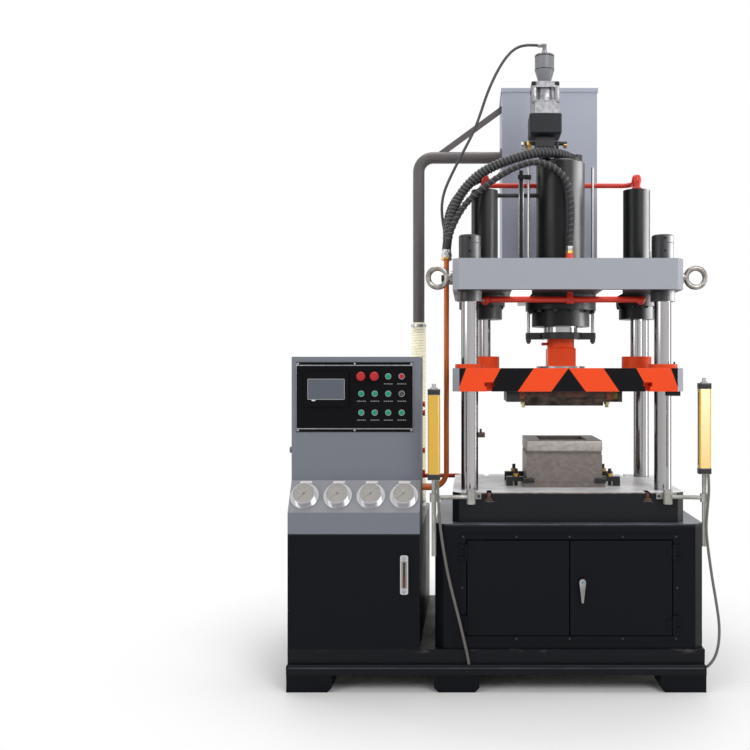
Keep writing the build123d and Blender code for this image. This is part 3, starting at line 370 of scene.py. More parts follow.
node_finish = {
    "base_black": ["skid_feet", "cabinet_sides", "cabinet_back", "cabinet_front", "left_door", "right_door",
                   "oil_tank"],
    "lid_black": ["cabinet_top", "oil_tank_lid"],
    "skid_black": ["skid"],
    "bed_finish": ["bed"],
    "cylinder_black": ["main_cylinder", "return_cylinders"],
    "nut_black": ["column_nuts", "ram_yoke", "die_clamps", "drive_neck", "pipe_clamp"],
    "grey_paint": ["slide"],
    "crown_paint_shaded_under": ["crown"],
    "tank_paint": ["top_tank", "top_tank_lid"],
    "console_paint_lit_slope": ["console"],
    "pipe_paint": ["overflow_pipe"],
    "orange_paint": ["slide_flanges", "ram_coupling"],
    "red_paint": ["return_pipes", "manifold_pipes"],
    "amber_paint": ["feed_pipes"],
    "yellow_paint": ["light_curtains"],
    "rod_chrome_painted_bands": ["columns", "main_ram", "return_rods"],
    "gauge_chrome": ["gauges"],
    "rod_steel": ["guide_rods"],
    "bright_steel": ["coupling_seat", "door_handle"],
    "fitting_steel": ["hose_fittings"],
    "galvanised": ["curtain_posts"],
    "eye_steel": ["eye_bolts"],
    "die_steel": ["lower_die"],
    "upper_die_steel": ["upper_die"],
    "aluminium": ["drive_motor"],
    "cup_grey": ["encoder_cup"],
    "gearbox_black": ["drive_gearbox", "valve_manifold"],
    "panel_black": ["control_panel"],
    "bezel_black": ["touch_screen"],
    "lamp_white": ["work_lamps"],
    "pump_blue": ["pump_motor"],
    "clear_hose": ["overflow_hose"],
}
for look, names in node_finish.items():
    for name in names:
        nodes[name].data.materials.clear()
        nodes[name].data.materials.append(looks[look])


# Edges of the solids catch the light

sharp_angle = radians(35)
edge_widths = {3.0: ["skid", "skid_feet", "cabinet_top"],
               1.5: ["crown", "slide", "bed", "console", "upper_die", "oil_tank", "top_tank_lid",
                     "drive_motor", "left_door", "right_door", "cabinet_front"],
               0.8: ["lower_die", "control_panel", "touch_screen", "slide_flanges", "ram_coupling",
                     "die_clamps", "ram_yoke", "work_lamps", "coupling_seat"]}
for width, names in edge_widths.items():
    for name in names:
        bevel = nodes[name].modifiers.new("edge", "BEVEL")
        bevel.width = width / 1000
        bevel.segments = 2
        bevel.limit_method = "ANGLE"
        bevel.angle_limit = sharp_angle


# Building blocks for the small pieces

def show(name, data):
    """A new object in the scene."""
    obj = bpy.data.objects.new(name, data)
    bpy.context.scene.collection.objects.link(obj)
    return obj


def piece(name, data, look, body="frame", turn=None):
    """A new object with a finish, moving with a body."""
    obj = show(name, data)
    data.materials.append(looks[look])
    if turn is not None:
        obj.matrix_world = turn
    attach(obj, body)
    return obj


def from_bmesh(name, bm, look, body="frame", smooth=True):
    mesh = bpy.data.meshes.new(name)
    bmesh.ops.recalc_face_normals(bm, faces=bm.faces)
    bm.to_mesh(mesh)
    bm.free()
    if smooth:
        mesh.shade_smooth()
        mesh.set_sharp_from_angle(angle=sharp_angle)
    return piece(name, mesh, look, body)


def add_box(bm, x, y, z, soft=0.0):
    """A box between (low, high) pairs, its edges softened."""
    verts = [bm.verts.new(place(a, b, c)) for c in z for b in y for a in x]
    loops = ((0, 1, 3, 2), (4, 6, 7, 5), (0, 4, 5, 1), (1, 5, 7, 3), (3, 7, 6, 2), (2, 6, 4, 0))
    faces = [bm.faces.new([verts[i] for i in loop]) for loop in loops]
    if soft:
        edges = {edge for face in faces for edge in face.edges}
        bmesh.ops.bevel(bm, geom=list(edges), offset=soft / 1000, segments=2, affect="EDGES", profile=0.5)


def add_turned(bm, start, way, profile, steps=32):
    """A closed solid of revolution: (radius, distance) points from start along way."""
    turn = Vector(way).to_track_quat("Z", "Y").to_matrix()
    origin = place(*start)
    circle = [(cos(tau * i / steps), sin(tau * i / steps)) for i in range(steps)]
    rings = []
    for radius, distance in profile:
        spots = circle if radius else circle[:1]
        rings.append([bm.verts.new(origin + turn @ Vector((radius * a, radius * b, distance)) / 1000)
                      for a, b in spots])
    for first, second in zip(rings, rings[1:]):
        for i in range(steps):
            j = (i + 1) % steps
            around = [first[i % len(first)], first[j % len(first)], second[j % len(second)],
                      second[i % len(second)]]
            loop = list(dict.fromkeys(around))
            if len(loop) > 2:
                bm.faces.new(loop)
    for ring in (rings[0], rings[-1]):
        if len(ring) > 2:
            bm.faces.new(ring)


def add_prism(bm, *ends):
    """A solid between two outlines with as many points, in metres."""
    near, far = ([bm.verts.new(spot) for spot in outline] for outline in ends)
    bm.faces.new(near)
    bm.faces.new(list(reversed(far)))
    for i in range(len(near)):
        j = (i + 1) % len(near)
        bm.faces.new([near[i], near[j], far[j], far[i]])


def add_plate(bm, outline, front, back):
    """A flat plate facing the viewer: (x, z) outline between two y values."""
    add_prism(bm, *([place(x, y, z) for x, z in outline] for y in (front, back)))


def boxes(name, look, spans, soft=0.0, body="frame"):
    """Several boxes in one object: (x, y, z) pairs each."""
    bm = bmesh.new()
    for x, y, z in spans:
        add_box(bm, x, y, z, soft)
    return from_bmesh(name, bm, look, body)


def turnings(name, look, items, body="frame", steps=32):
    """Several turned pieces in one object: (start, way, profile) each."""
    bm = bmesh.new()
    for start, way, profile in items:
        add_turned(bm, start, way, profile, steps)
    return from_bmesh(name, bm, look, body)


def rod(name, look, start, end, radius, soft=0.0, body="frame"):
    """A round bar, its end edges softened."""
    way = Vector(end) - Vector(start)
    length = way.length
    profile = [(radius, 0), (radius, length)]
    if soft:
        profile = [(radius - soft, 0), (radius, soft), (radius, length - soft), (radius - soft, length)]
    return turnings(name, look, [(start, way, profile)], body, steps=24)


def collar(inner, outer, height):
    """Profile of a plain ring."""
    return [(inner, 0), (outer, 0), (outer, height), (inner, height), (inner, 0)]


def disc(radius, height, low=0.0):
    """Profile of a plain disc."""
    return [(0, low), (radius, low), (radius, height), (0, height)]


def screw_head(radius, height):
    """Profile of a socket screw's head, with its socket."""
    return [(0, 0), (radius, 0), (radius, height - 1), (radius - 1, height), (radius * 0.5, height),
            (radius * 0.5, height * 0.4), (0, height * 0.4)]


def cut(obj, cutters):
    """Takes the cutters out of the object's mesh."""
    for cutter in cutters:
        modifier = obj.modifiers.new("cut", "BOOLEAN")
        modifier.object = cutter
        modifier.operation = "DIFFERENCE"
        modifier.solver = "EXACT"
    bpy.context.view_layer.update()
    graph = bpy.context.evaluated_depsgraph_get()
    mesh = bpy.data.meshes.new_from_object(obj.evaluated_get(graph))
    obj.modifiers.clear()
    obj.data = mesh
    mesh.shade_flat()


# Hazard bands on the slide's front

front_y = slide_low.y
front_half = slide_high.x - 30
band_tops = (151, 294, 445)
band_bottoms = (221, 350, 482)
middle_half = 75
past_edge = front_half + 60
paint_film, margin = 0.3, 0.2
band_z = (slide_low.z + margin, slide_high.z - margin)


def clipped(points):
    """Outline points, with what lies beyond the flat front cut off."""
    kept = []
    for (x1, z1), (x2, z2) in zip(points, points[1:] + points[:1]):
        inside1, inside2 = abs(x1) <= front_half, abs(x2) <= front_half
        if inside1:
            kept.append((x1, z1))
        if inside1 != inside2:
            edge = front_half if max(x1, x2) > front_half else -front_half
            share = (edge - x1) / (x2 - x1)
            kept.append((edge, z1 + share * (z2 - z1)))
    return kept


def band(left_top, right_top, right_bottom, left_bottom):
    return [(left_top, slide_high.z), (right_top, slide_high.z), (right_bottom, slide_low.z),
            (left_bottom, slide_low.z)]


slot_steps = ((slot_neck, -5, slot_neck_depth), (slot_head, slot_neck_depth, slot_depth))
cutters = [
    boxes("slot_cutter", "hazard_black", [
        (span(x, width / 2), span(front_y, 20), (slide_low.z + low, slide_low.z + high))], body="slide")
    for x in (-slot_x, slot_x) for width, low, high in slot_steps]
orange_field = boxes("slide_orange_front", "orange_paint", [
    (span(0, front_half), (front_y - paint_film, front_y), band_z)], body="slide")
bm = bmesh.new()
bands = [[(0, slide_high.z), (middle_half, slide_low.z), (-middle_half, slide_low.z)]]
for sign in sides:
    tops, bottoms = [sign * x for x in band_tops], [sign * x for x in band_bottoms]
    bands.append(band(tops[0], tops[1], bottoms[1], bottoms[0]))
    bands.append(band(tops[2], sign * past_edge, sign * past_edge, bottoms[2]))
for outline in bands:
    inset = [(x, min(max(z, band_z[0]), band_z[1])) for x, z in clipped(outline)]
    add_plate(bm, inset, front_y - 2 * paint_film, front_y - paint_film / 2)
black_bands = from_bmesh("slide_black_bands", bm, "hazard_black", "slide", smooth=False)
for panel in (orange_field, black_bands):
    cut(panel, cutters)
for cutter in cutters:
    bpy.data.objects.remove(cutter)

# Control panel: strips, screws and the display

panel_low, panel_high = corners("control_panel")
panel_y = panel_low.y
panel_middle = (panel_low.x + panel_high.x) / 2
strip_inset, strip_height, strip_proud = 14.0, 4.5, 1.2
strip_y = (panel_y - strip_proud, panel_y)
boxes("panel_strips", "aluminium", [
    ((panel_low.x + 2, panel_high.x - 2), strip_y, span(z, strip_height / 2))
    for z in (panel_high.z - strip_inset, panel_low.z + strip_inset)], soft=0.4)
boxes("panel_side_trim", "aluminium", [
    (span(x, 1.2), strip_y, (panel_low.z + 2, panel_high.z - 2))
    for x in (panel_low.x + 1.5, panel_high.x - 1.5)], soft=0.3)
turnings("panel_screws", "screw_steel", [
    ((x, panel_y, z), toward, screw_head(4.5, 3.0))
    for x in (panel_low.x + 9, panel_middle, panel_high.x - 9)
    for z in (panel_high.z - 7, panel_low.z + 7)], steps=20)

screen_low, screen_high = corners("touch_screen")
display_half, display_rise, display_sink = 81.0, 45.5, 1.4
trim_half = 1.0
screen_x = (screen_low.x + screen_high.x) / 2
screen_z = (screen_low.z + screen_high.z) / 2
display_y = screen_low.y + display_sink
display_x, display_z = span(screen_x, display_half), span(screen_z, display_rise)
trim_y = (screen_low.y - 0.3, display_y)
boxes("display", "display_grey", [(display_x, (display_y - 0.7, display_y), display_z)])
boxes("display_trim", "screw_steel", [
    (display_x, trim_y, span(screen_z + sign * (display_rise - trim_half), trim_half)) for sign in sides] + [
    (span(screen_x + sign * (display_half - trim_half), trim_half), trim_y, display_z) for sign in sides])
boxes("display_key", "tag_pale", [
    ((display_x[0] + 18, display_x[0] + 34), (screen_low.y - 0.5, screen_low.y),
     (display_z[0] - 6, display_z[0] - 1))], soft=0.2)

# Push-buttons and their label bars

button_right, button_pitch = 51.0, 59.0
button_drops = (62.0, 138.0, 221.0)
ring_radius, ring_height, ring_gap = 14.5, 6.0, 0.3
cap_radius, cap_height = 11.0, 7.0
mushroom_neck, mushroom_radius, mushroom_height = 12.0, 20.0, 13.0
button_rows = (("mushroom", "mushroom", "green", "red"), ("green", "green", "green", "selector"),
               ("green", "green", "green", "green"))
cap_top = ring_height + cap_height
neck_top = ring_height + mushroom_neck
mushroom_top = neck_top + mushroom_height
hole_radius = cap_radius + ring_gap
ring_profile = [(hole_radius, 0), (ring_radius, 0), (ring_radius, ring_height - 2),
                (ring_radius - 1.6, ring_height), (hole_radius, ring_height), (hole_radius, 0)]
cap_profile = [(0, 0), (cap_radius, 0), (cap_radius, cap_top - 2), (cap_radius - 2, cap_top - 0.3),
               (cap_radius - 4, cap_top), (0, cap_top - 0.6)]
mushroom_profile = [
    (0, 0), (cap_radius, 0), (cap_radius, neck_top), (mushroom_radius - 1, neck_top),
    (mushroom_radius, neck_top + 2), (mushroom_radius, mushroom_top - 5),
    (mushroom_radius - 3, mushroom_top - 1), (mushroom_radius - 8, mushroom_top), (0, mushroom_top)]
button_spots = {"mushroom": [], "green": [], "red": [], "selector": []}
for drop, kinds in zip(button_drops, button_rows):
    for from_right, kind in zip((3, 2, 1, 0), kinds):
        button_spots[kind].append((panel_high.x - button_right - from_right * button_pitch,
                                   panel_y, panel_high.z - drop))
all_buttons = [spot for spots in button_spots.values() for spot in spots]


def buttons(name, look, spots, profile):
    return turnings(name, look, [(spot, toward, profile) for spot in spots])


rings = buttons("button_rings", "chrome", all_buttons, ring_profile)
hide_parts("panel_buttons")
buttons("green_buttons", "cap_green", button_spots["green"], cap_profile)
buttons("red_button", "cap_red", button_spots["red"], cap_profile)
buttons("mushroom_buttons", "cap_red", button_spots["mushroom"], mushroom_profile)
buttons("selector_knob", "cap_black", button_spots["selector"], cap_profile)
label_half, label_drop, bar_pitch, bar_half, bars = 20.0, 33.0, 8.0, 2.8, 5
boxes("button_labels", "label_pale", [
    (span(x - label_half + bar_pitch * (i + 0.5), bar_half), (y - 0.3, y), span(z - label_drop, 2))
    for kind in ("green", "red", "selector") for x, y, z in button_spots[kind] for i in range(bars)])

knob_x, knob_y, knob_z = button_spots["selector"][0]
knob_face = knob_y - cap_top
for name, look, half_length, half_width, proud in (("selector_lever", "cap_black", 10.5, 4.0, 7.0),
                                                  ("selector_mark", "label_pale", 9.0, 1.1, 7.4)):
    bm = bmesh.new()
    diagonal = cos(pi / 4)
    add_plate(bm, [(knob_x + (a * half_length + b * half_width) * diagonal,
                    knob_z + (b * half_width - a * half_length) * diagonal)
                   for a, b in rectangle], knob_face - proud, knob_face)
    from_bmesh(name, bm, look, smooth=False)

# Pressure gauges on the sloping face

console_low = corners("console")[0]
slope_back, slope_rise, slope_low, lid_rise = 90.0, 129.0, 92.0, 7.0
gauge_first, gauge_pitch, gauge_count = 85.0, 144.0, 4
gauge_depth, gauge_face, dial_radius, dial_thick = 30.0, 25.0, 45.5, 0.8
dial_start, dial_sweep, tick_count, number_count = -135, 270, 31, 7
number_ring, number_size = 30.0, 8.0
needle_lifts = (-10, 10, 10, 1.25)
needle_length, needle_reach = 46.0, 11.0
slope = Vector((0, -slope_rise, slope_back)).normalized()
up_slope = Vector((0, slope_back, slope_rise)).normalized()


def on_slope(middle, across, rise, out):
    """A point on a gauge: across and up its dial, out along its axis."""
    return middle + Vector((across, 0, 0)) + up_slope * rise + slope * out


def add_slope_bar(bm, middle, centre, angle, length, width, out, thick):
    """A flat bar on a dial, its middle line through centre at an angle from twelve o'clock."""
    outline = []
    for a, b in rectangle:
        far, wide = a * length / 2, b * width / 2
        outline.append((centre[0] + sin(angle) * far + cos(angle) * wide,
                        centre[1] + cos(angle) * far - sin(angle) * wide))
    add_prism(bm, *([place(*on_slope(middle, across, rise, level)) for across, rise in outline]
                    for level in (out, out + thick)))


def add_dial_bar(bm, middle, reach, angle, length, width, out, thick):
    """A bar on the dial's radius at an angle."""
    add_slope_bar(bm, middle, (reach * sin(angle), reach * cos(angle)), angle, length, width, out, thick)


gauge_middles = [Vector((console_low.x + gauge_first + i * gauge_pitch, console_low.y + slope_back / 2,
                         tank_high.z + lid_rise + slope_low + slope_rise / 2)) for i in range(gauge_count)]
needles, ticks = bmesh.new(), bmesh.new()
for middle, lift in zip(gauge_middles, needle_lifts):
    for tick in range(tick_count):
        angle = radians(dial_start + dial_sweep * tick / (tick_count - 1))
        inset, length, width = (7.0, 7, 1.5) if tick % 5 == 0 else (5.5, 4, 0.8)
        add_dial_bar(ticks, middle, dial_radius - inset, angle, length, width, gauge_face + dial_thick, 0.2)
    add_dial_bar(needles, middle, needle_reach, radians(dial_start + lift), needle_length, 2.0,
                 gauge_face + 1.6, 0.6)
for name, look, out, profile, steps in (
        ("gauge_dials", "dial_white", gauge_face, disc(dial_radius, dial_thick), 32),
        ("gauge_glasses", "gauge_glass", gauge_depth - 1.6, disc(dial_radius, 1.2), 32),
        ("gauge_hubs", "ink_black", gauge_face, disc(5, 2.6, dial_thick), 20)):
    seats = [on_slope(middle, 0, 0, out) for middle in gauge_middles]
    turnings(name, look, [(seat, slope, profile) for seat in seats], steps=steps)
from_bmesh("gauge_ticks", ticks, "ink_black", smooth=False)
from_bmesh("gauge_needles", needles, "ink_black", smooth=False)
flat_on_slope = Matrix((Vector((1, 0, 0)), up_slope, slope)).transposed().to_4x4()
for i, middle in enumerate(gauge_middles):
    for step in range(number_count):
        angle = radians(dial_start + dial_sweep * step / (number_count - 1))
        text = bpy.data.curves.new("dial_number", "FONT")
        text.body = str(step * 5)
        text.size = number_size / 1000
        text.align_x, text.align_y = "CENTER", "CENTER"
        text.extrude = 0.0001
        spot = on_slope(middle, number_ring * sin(angle), number_ring * cos(angle), gauge_face + 0.95)
        piece(f"dial_number_{i}_{step}", text, "ink_black",
              turn=Matrix.Translation(place(*spot)) @ flat_on_slope)
tag_rise, tag_width, tag_height = 69.0, 52.0, 10.0
bm = bmesh.new()
for middle in gauge_middles:
    add_slope_bar(bm, middle, (0, tag_rise), pi / 2, tag_width, tag_height, 0, 0.6)
from_bmesh("gauge_tags", bm, "tag_pale", smooth=False)

# Oil level gauge on the tank

level_x, level_half = tank_high.x - 65.0, 17.0
level_low, level_high = 419.0, 587.0
level_y = tank_low.y - 18
boxes("level_plate", "dial_white", [
    (span(level_x, level_half - 5), (level_y - 0.8, level_y), (level_low + 26, level_high - 26))], soft=0.3)
boxes("level_window", "cap_black", [
    (span(level_x, level_half - 12), (level_y - 1.6, level_y), (level_low + 30, level_high - 30))], soft=0.5)
boxes("level_mark", "cap_red", [
    (span(level_x, level_half - 16), (level_y - 2.0, level_y - 1.6), (level_low + 32, level_low + 74))])
turnings("level_bolts", "screw_steel", [
    ((level_x, level_y, z), toward, screw_head(9, 7)) for z in (level_low + 14, level_high - 14)], steps=24)

# Door frame screws and the handle's dot

door_low, door_high = corners("left_door")
frame_y = -404.0
screw_x, side_screw_x = (-458, -229, 0, 229, 458), (-462, 462)
screw_spots = [(x, frame_y, z) for x in screw_x for z in (door_low.z - 16, door_high.z + 16)]
screw_spots += [(x, frame_y, (door_low.z + door_high.z) / 2) for x in side_screw_x]
turnings("frame_screws", "frame_screw", [
    (spot, toward, screw_head(4.5, 2.5)) for spot in screw_spots], steps=16)
handle_low, handle_high = corners("door_handle")
handle_x = (handle_low.x + handle_high.x) / 2
turnings("handle_dot", "blue_dot", [((handle_x, handle_low.y, handle_high.z - 14), toward, disc(5, 0.4))],
         body="door_handle", steps=24)

# Flange bolts under the crown

return_x, main_bolt_ring, return_bolt_ring = 360.0, 151.0, 89.5
main_flange_z, return_flange_z = crown_low.z - 72, crown_low.z - 52


def bolt_circle(x, z, radius, count, profile):
    """Bolts evenly round an upright axis at x, half a step off the side."""
    angles = [tau * (i + 0.5) / count for i in range(count)]
    return [((x + radius * cos(angle), radius * sin(angle), z), down, profile) for angle in angles]


bolts = bolt_circle(0, main_flange_z, main_bolt_ring, 12, screw_head(11, 12))
for x in (-return_x, return_x):
    bolts += bolt_circle(x, return_flange_z, return_bolt_ring, 8, screw_head(6, 10))
turnings("flange_bolts", "nut_black", bolts, steps=20)

# Red elbows and unions on the red pipes

riser_x, riser_y, pipe_hole = 24.0, -186.0, 16.1
upper_pipe_z, lower_pipe_z = return_top + 53, crown_low.z - 31
elbow = [(pipe_hole, 0), (23, 0), (23, 14), (18, 18), (18, 30), (21, 40), (22.5, 53), (20, 66), (13, 75),
         (0, 77), (0, 72.2), (pipe_hole, 72.2), (pipe_hole, 0)]
ball_radius = 18.0
ball = [(ball_radius * sin(pi * i / 12), ball_radius - ball_radius * cos(pi * i / 12)) for i in range(1, 12)]
unions = []
for x in (-return_x, return_x):
    unions.append(((x, 0, return_top), up, elbow))
    unions.append(((x, 16.4, upper_pipe_z), backward, [(0, 0), (18, 0), (18, 20), (14, 24), (0, 24)]))
    unions.append(((x, -96.3, lower_pipe_z), toward, [(0, 0), (19, 0), (19, 15), (14.2, 18), (0, 18)]))
unions.append(((riser_x, riser_y, crown_high.z), up, [
    (pipe_hole, 0), (19.5, 0), (19.5, 36), (17.4, 40), (pipe_hole, 40), (pipe_hole, 0)]))
unions.append(((riser_x, riser_y, lower_pipe_z), toward, [(0, 0), (15.5, 0), (15.5, 16), (13, 18), (0, 18)]))
unions.append(((riser_x, riser_y, crown_low.z - 50), up, [
    (0, 0), (16, 0), (19, 4), (19, 34), (17, 40), (0, 40)]))
for x in (-351, 351):
    unions.append(((x, -178, crown_low.z - 49), up, [(0, 0)] + ball + [(0, 2 * ball_radius)]))
turnings("red_unions", "red_paint", unions)

# Seams between the stacked column nuts

nut_radius, nut_low_height = 49.0, 75.0
turnings("nut_seams", "ink_black", [
    ((x, y, crown_high.z + nut_low_height - 1), up, collar(nut_radius - 1, nut_radius + 0.3, 2.4))
    for x in (-430, 430) for y in (-260, 260)], steps=48)

# Stroke scale beside the left guide rod, with the rider that the rod carries

scale_x, scale_y = -187.0, 4.0
scale_top = main_high.z - 34
scale_z = (crown_high.z, scale_top)
rider_z = (scale_top - 42, scale_top - 24)
boxes("stroke_scale", "gearbox_black", [(span(scale_x, 8), span(scale_y, 9), scale_z)], soft=1.5)
boxes("stroke_scale_edges", "bright_steel", [
    (span(scale_x + sign * 9.5, 1.6), span(scale_y, 6), scale_z) for sign in sides], soft=0.5)
boxes("stroke_rider", "gearbox_black", [
    ((scale_x - 16, -161), (scale_y - 22, scale_y - 11), rider_z),
    ((-168, -140), (scale_y - 22, scale_y + 8), rider_z)], soft=1.5, body="slide")

# Hoses and cables: finish, diameter, length in metres, stiffness, and the same route as the solid

cord_facts = {
    "main_hose": ("rubber", 42, 0.889, "stiff"),
    "front_hose": ("rubber", 27, 1.079, "stiff"),
    "return_hose": ("rubber", 27, 0.411, "stiff"),
    "drive_cable": ("cable_sheath", 13, 1.164, "stiff"),
    "left_curtain_cable": ("curtain_sheath", 12, 0.805, "medium"),
    "right_curtain_cable": ("curtain_sheath", 12, 0.850, "medium"),
}
routes = {
    "main_hose": [
        (-538, -88, 1937.2), (-528, -88, 2050), (-488, -92, 2178), (-412, -98, 2268), (-332, -103, 2320),
        (-216, -108, 2362), (-128, -100, 2386), (-62, -78, 2394), (8, -38, 2392), (58, 4, 2384)],
    "front_hose": [
        (-538, -125, 1937.8), (-524, -127, 2012), (-466, -132, 2125), (-406, -138, 2188), (-333, -145, 2242),
        (-252, -152, 2293), (-180, -158, 2322), (-126, -163, 2330), (-72, -167, 2318), (-25, -171, 2289),
        (9, -176, 2246), (26, -180, 2194), (33, -184, 2115), (31, -186, 2030), (26, -186, 1978),
        (24, -186, 1942.0)],
    "return_hose": [
        (-538, -51, 1936.2), (-543, -52, 2012), (-538, -50, 2095), (-511, -44, 2165), (-469, -34, 2222),
        (-420, -18, 2262), (-382.8, -7.4, 2278)],
    "drive_cable": [
        (-106.9, 0, 2918.5), (-160, -3, 2922), (-216, -6, 2904), (-262, -10, 2856), (-306, -14, 2782),
        (-349, -17, 2685), (-378, -19, 2594), (-410, -20, 2507), (-466, -19, 2400), (-520, -17, 2296),
        (-552, -15, 2222), (-564, -14, 2155), (-559, -14, 2085), (-545, -14, 2010), (-538, -14, 1936.0)],
    "left_curtain_cable": [
        (-566, -429, 907.3), (-566, -437, 875), (-563, -451, 835), (-560, -454, 770), (-550, -452, 668),
        (-527, -449, 530), (-500, -447, 415), (-474, -445, 315), (-456, -441, 236), (-441, -433, 172),
        (-433, -421, 120.9)],
    "right_curtain_cable": [
        (590, -429, 933.2), (590, -437, 902), (587, -451, 862), (580, -455, 795), (574, -452, 715),
        (581, -449, 640), (601, -445, 500), (625, -441, 365), (635, -438, 290), (635, -434, 226),
        (626, -428, 168), (606, -420, 124), (587.6, -413, 106)],
}
guards = {"main_hose": (20.0, 4.6, 17.5), "front_hose": (12.6, 4.2, 26.0), "return_hose": (12.8, 3.2, 13.0)}
bare_ends = 6


def round_curve(name, kind, spots, radius, roundness):
    """A curve with a round section, by points in metres."""
    curve = bpy.data.curves.new(name, "CURVE")
    curve.dimensions = "3D"
    curve.bevel_depth = radius / 1000
    curve.bevel_resolution = roundness
    spline = curve.splines.new(kind)
    spline.points.add(len(spots) - 1)
    for point, spot in zip(spline.points, spots):
        point.co = (*spot, 1.0)
    return curve


def route_curve(name, radius):
    curve = round_curve(name, "NURBS", [place(*spot) for spot in routes[name]], radius, 6)
    curve.use_fill_caps = True
    curve.resolution_u = 24
    curve.splines[0].order_u = 3
    curve.splines[0].use_endpoint_u = True
    return curve


def route_points(name):
    """Points along a route's smooth curve, in metres."""
    obj = show("route", route_curve(name, 0.0))
    bpy.context.view_layer.update()
    mesh = bpy.data.meshes.new_from_object(obj.evaluated_get(bpy.context.evaluated_depsgraph_get()))
    points = [vert.co.copy() for vert in mesh.vertices]
    bpy.data.objects.remove(obj)
    bpy.data.meshes.remove(mesh)
    return points


def walk(points, step):
    """Points at even steps along a line, each with its direction."""
    result, left = [(points[0], (points[1] - points[0]).normalized())], step
    for a, b in zip(points, points[1:]):
        length = (b - a).length
        done = 0.0
        while length - done >= left:
            done += left
            result.append((a + (b - a) * (done / length), (b - a).normalized()))
            left = step
        left -= length - done
    return result


def wrap(name, look, line, radius, wire, pitch):
    """A spiral of wire round a line of points in metres."""
    samples_per_turn = 14
    side = Vector(backward)
    coil = []
    for i, (spot, way) in enumerate(walk(line, pitch / 1000 / samples_per_turn)):
        side = (side - way * side.dot(way)).normalized()
        angle = tau * i / samples_per_turn
        coil.append(spot + (side * cos(angle) + way.cross(side) * sin(angle)) * radius / 1000)
    return piece(name, round_curve(name, "POLY", coil, wire, 2), look)


for name, (look, diameter, length, stiffness) in cord_facts.items():
    cord = piece(f"{name}_line", route_curve(name, diameter / 2), look)
    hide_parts(name)
    if name in guards:
        guarded = route_points(name)[bare_ends:-bare_ends]
        wrap(f"{name}_guard", "guard_black", guarded, *guards[name])

# Hose ends: steel sleeves and brass collars

feed_x, hose_top = -538.0, crown_high.z + 24
sleeves, collars = [], []
for y, radius in ((-125, 16.0), (-88, 22.0), (-51, 16.0)):
    sleeves.append(((feed_x, y, hose_top + 14), up, collar(radius + 0.1, radius + 2.4, 16)))
    collars.append(((feed_x, y, hose_top - 1), up, collar(radius + 0.1, radius + 3, 9)))
sleeves.append(((riser_x, riser_y, crown_high.z + 56), up, [
    (pipe_hole, 0), (18.5, 0), (18.5, 13), (17, 17), (pipe_hole, 17), (pipe_hole, 0)]))
collars.append(((riser_x, riser_y, crown_high.z + 40), up, [
    (pipe_hole, 0), (19.5, 0), (19.5, 12), (17, 16), (pipe_hole, 16), (pipe_hole, 0)]))
turnings("hose_sleeves", "bright_steel", sleeves, steps=6)
turnings("hose_collars", "brass", collars, steps=6)

# Stroke drive: motor posts and caps, fittings at its neck, bands and gland on its cup

motor_low, motor_high = corners("drive_motor")
cup_high = corners("encoder_cup")[1]
drive_x = (motor_low.x + motor_high.x) / 2
motor_half = (motor_high.x - motor_low.x) / 2
motor_cap_low = motor_high.z - 24
cap_size, cap_proud, post_size = 28.0, 0.4, 22.0


def motor_corners(size, proud, z):
    """A box at each upright edge of the motor."""
    return [(sorted((drive_x + a * (motor_half + proud), drive_x + a * (motor_half - size))),
             sorted((b * (motor_half + proud), b * (motor_half - size))), z) for a in sides for b in sides]


boxes("motor_posts", "aluminium",
      motor_corners(post_size, 0, (motor_low.z + 50, motor_cap_low + 4)), soft=3.0)
boxes("motor_caps", "gearbox_black",
      motor_corners(cap_size, cap_proud, (motor_cap_low, motor_high.z + cap_proud)), soft=6.0)
boxes("motor_seams", "dark_screw", [
    ((motor_low.x - 0.3, motor_high.x + 0.3), (motor_low.y - 0.3, motor_high.y + 0.3),
     (motor_low.z + 55, motor_low.z + 57))], soft=0.1)
neck_z = 2443.0
turnings("neck_fittings_brass", "brass", [
    ((drive_x - 62, 0, neck_z), leftward, [(0, 0), (21, 0), (21, 22), (16, 25), (0, 25)]),
    ((drive_x + 90, 0, neck_z), rightward, [(0, 0), (13, 0), (13, 14), (9, 16), (0, 16)])], steps=6)
turnings("neck_fittings_steel", "bright_steel", [
    ((drive_x - 90, 0, neck_z), leftward, [(0, 0), (17, 0), (19, 4), (19, 20), (15, 24), (0, 24)]),
    ((drive_x + 52, 0, neck_z), rightward, disc(17, 14))], steps=6)
gland_z = cup_high.z - 57.5
turnings("cup_band", "gearbox_black", [
    ((drive_x, 0, gland_z - drop), up, collar(46.05, 46.6, height)) for drop, height in ((10, 4), (72, 3))])
turnings("cup_gland", "bright_steel", [
    ((drive_x, 0, gland_z), up, [(0, 0), (16, 0), (16, 9), (12.5, 12), (11.5, 24), (0, 24)]),
    ((drive_x - 14, 0, cup_high.z - 9), leftward, [(0, 0), (10, 0), (10, 15), (9.2, 17), (0, 17)])], steps=6)

# Light curtains: lenses facing each other, end caps, studs and bracket screws

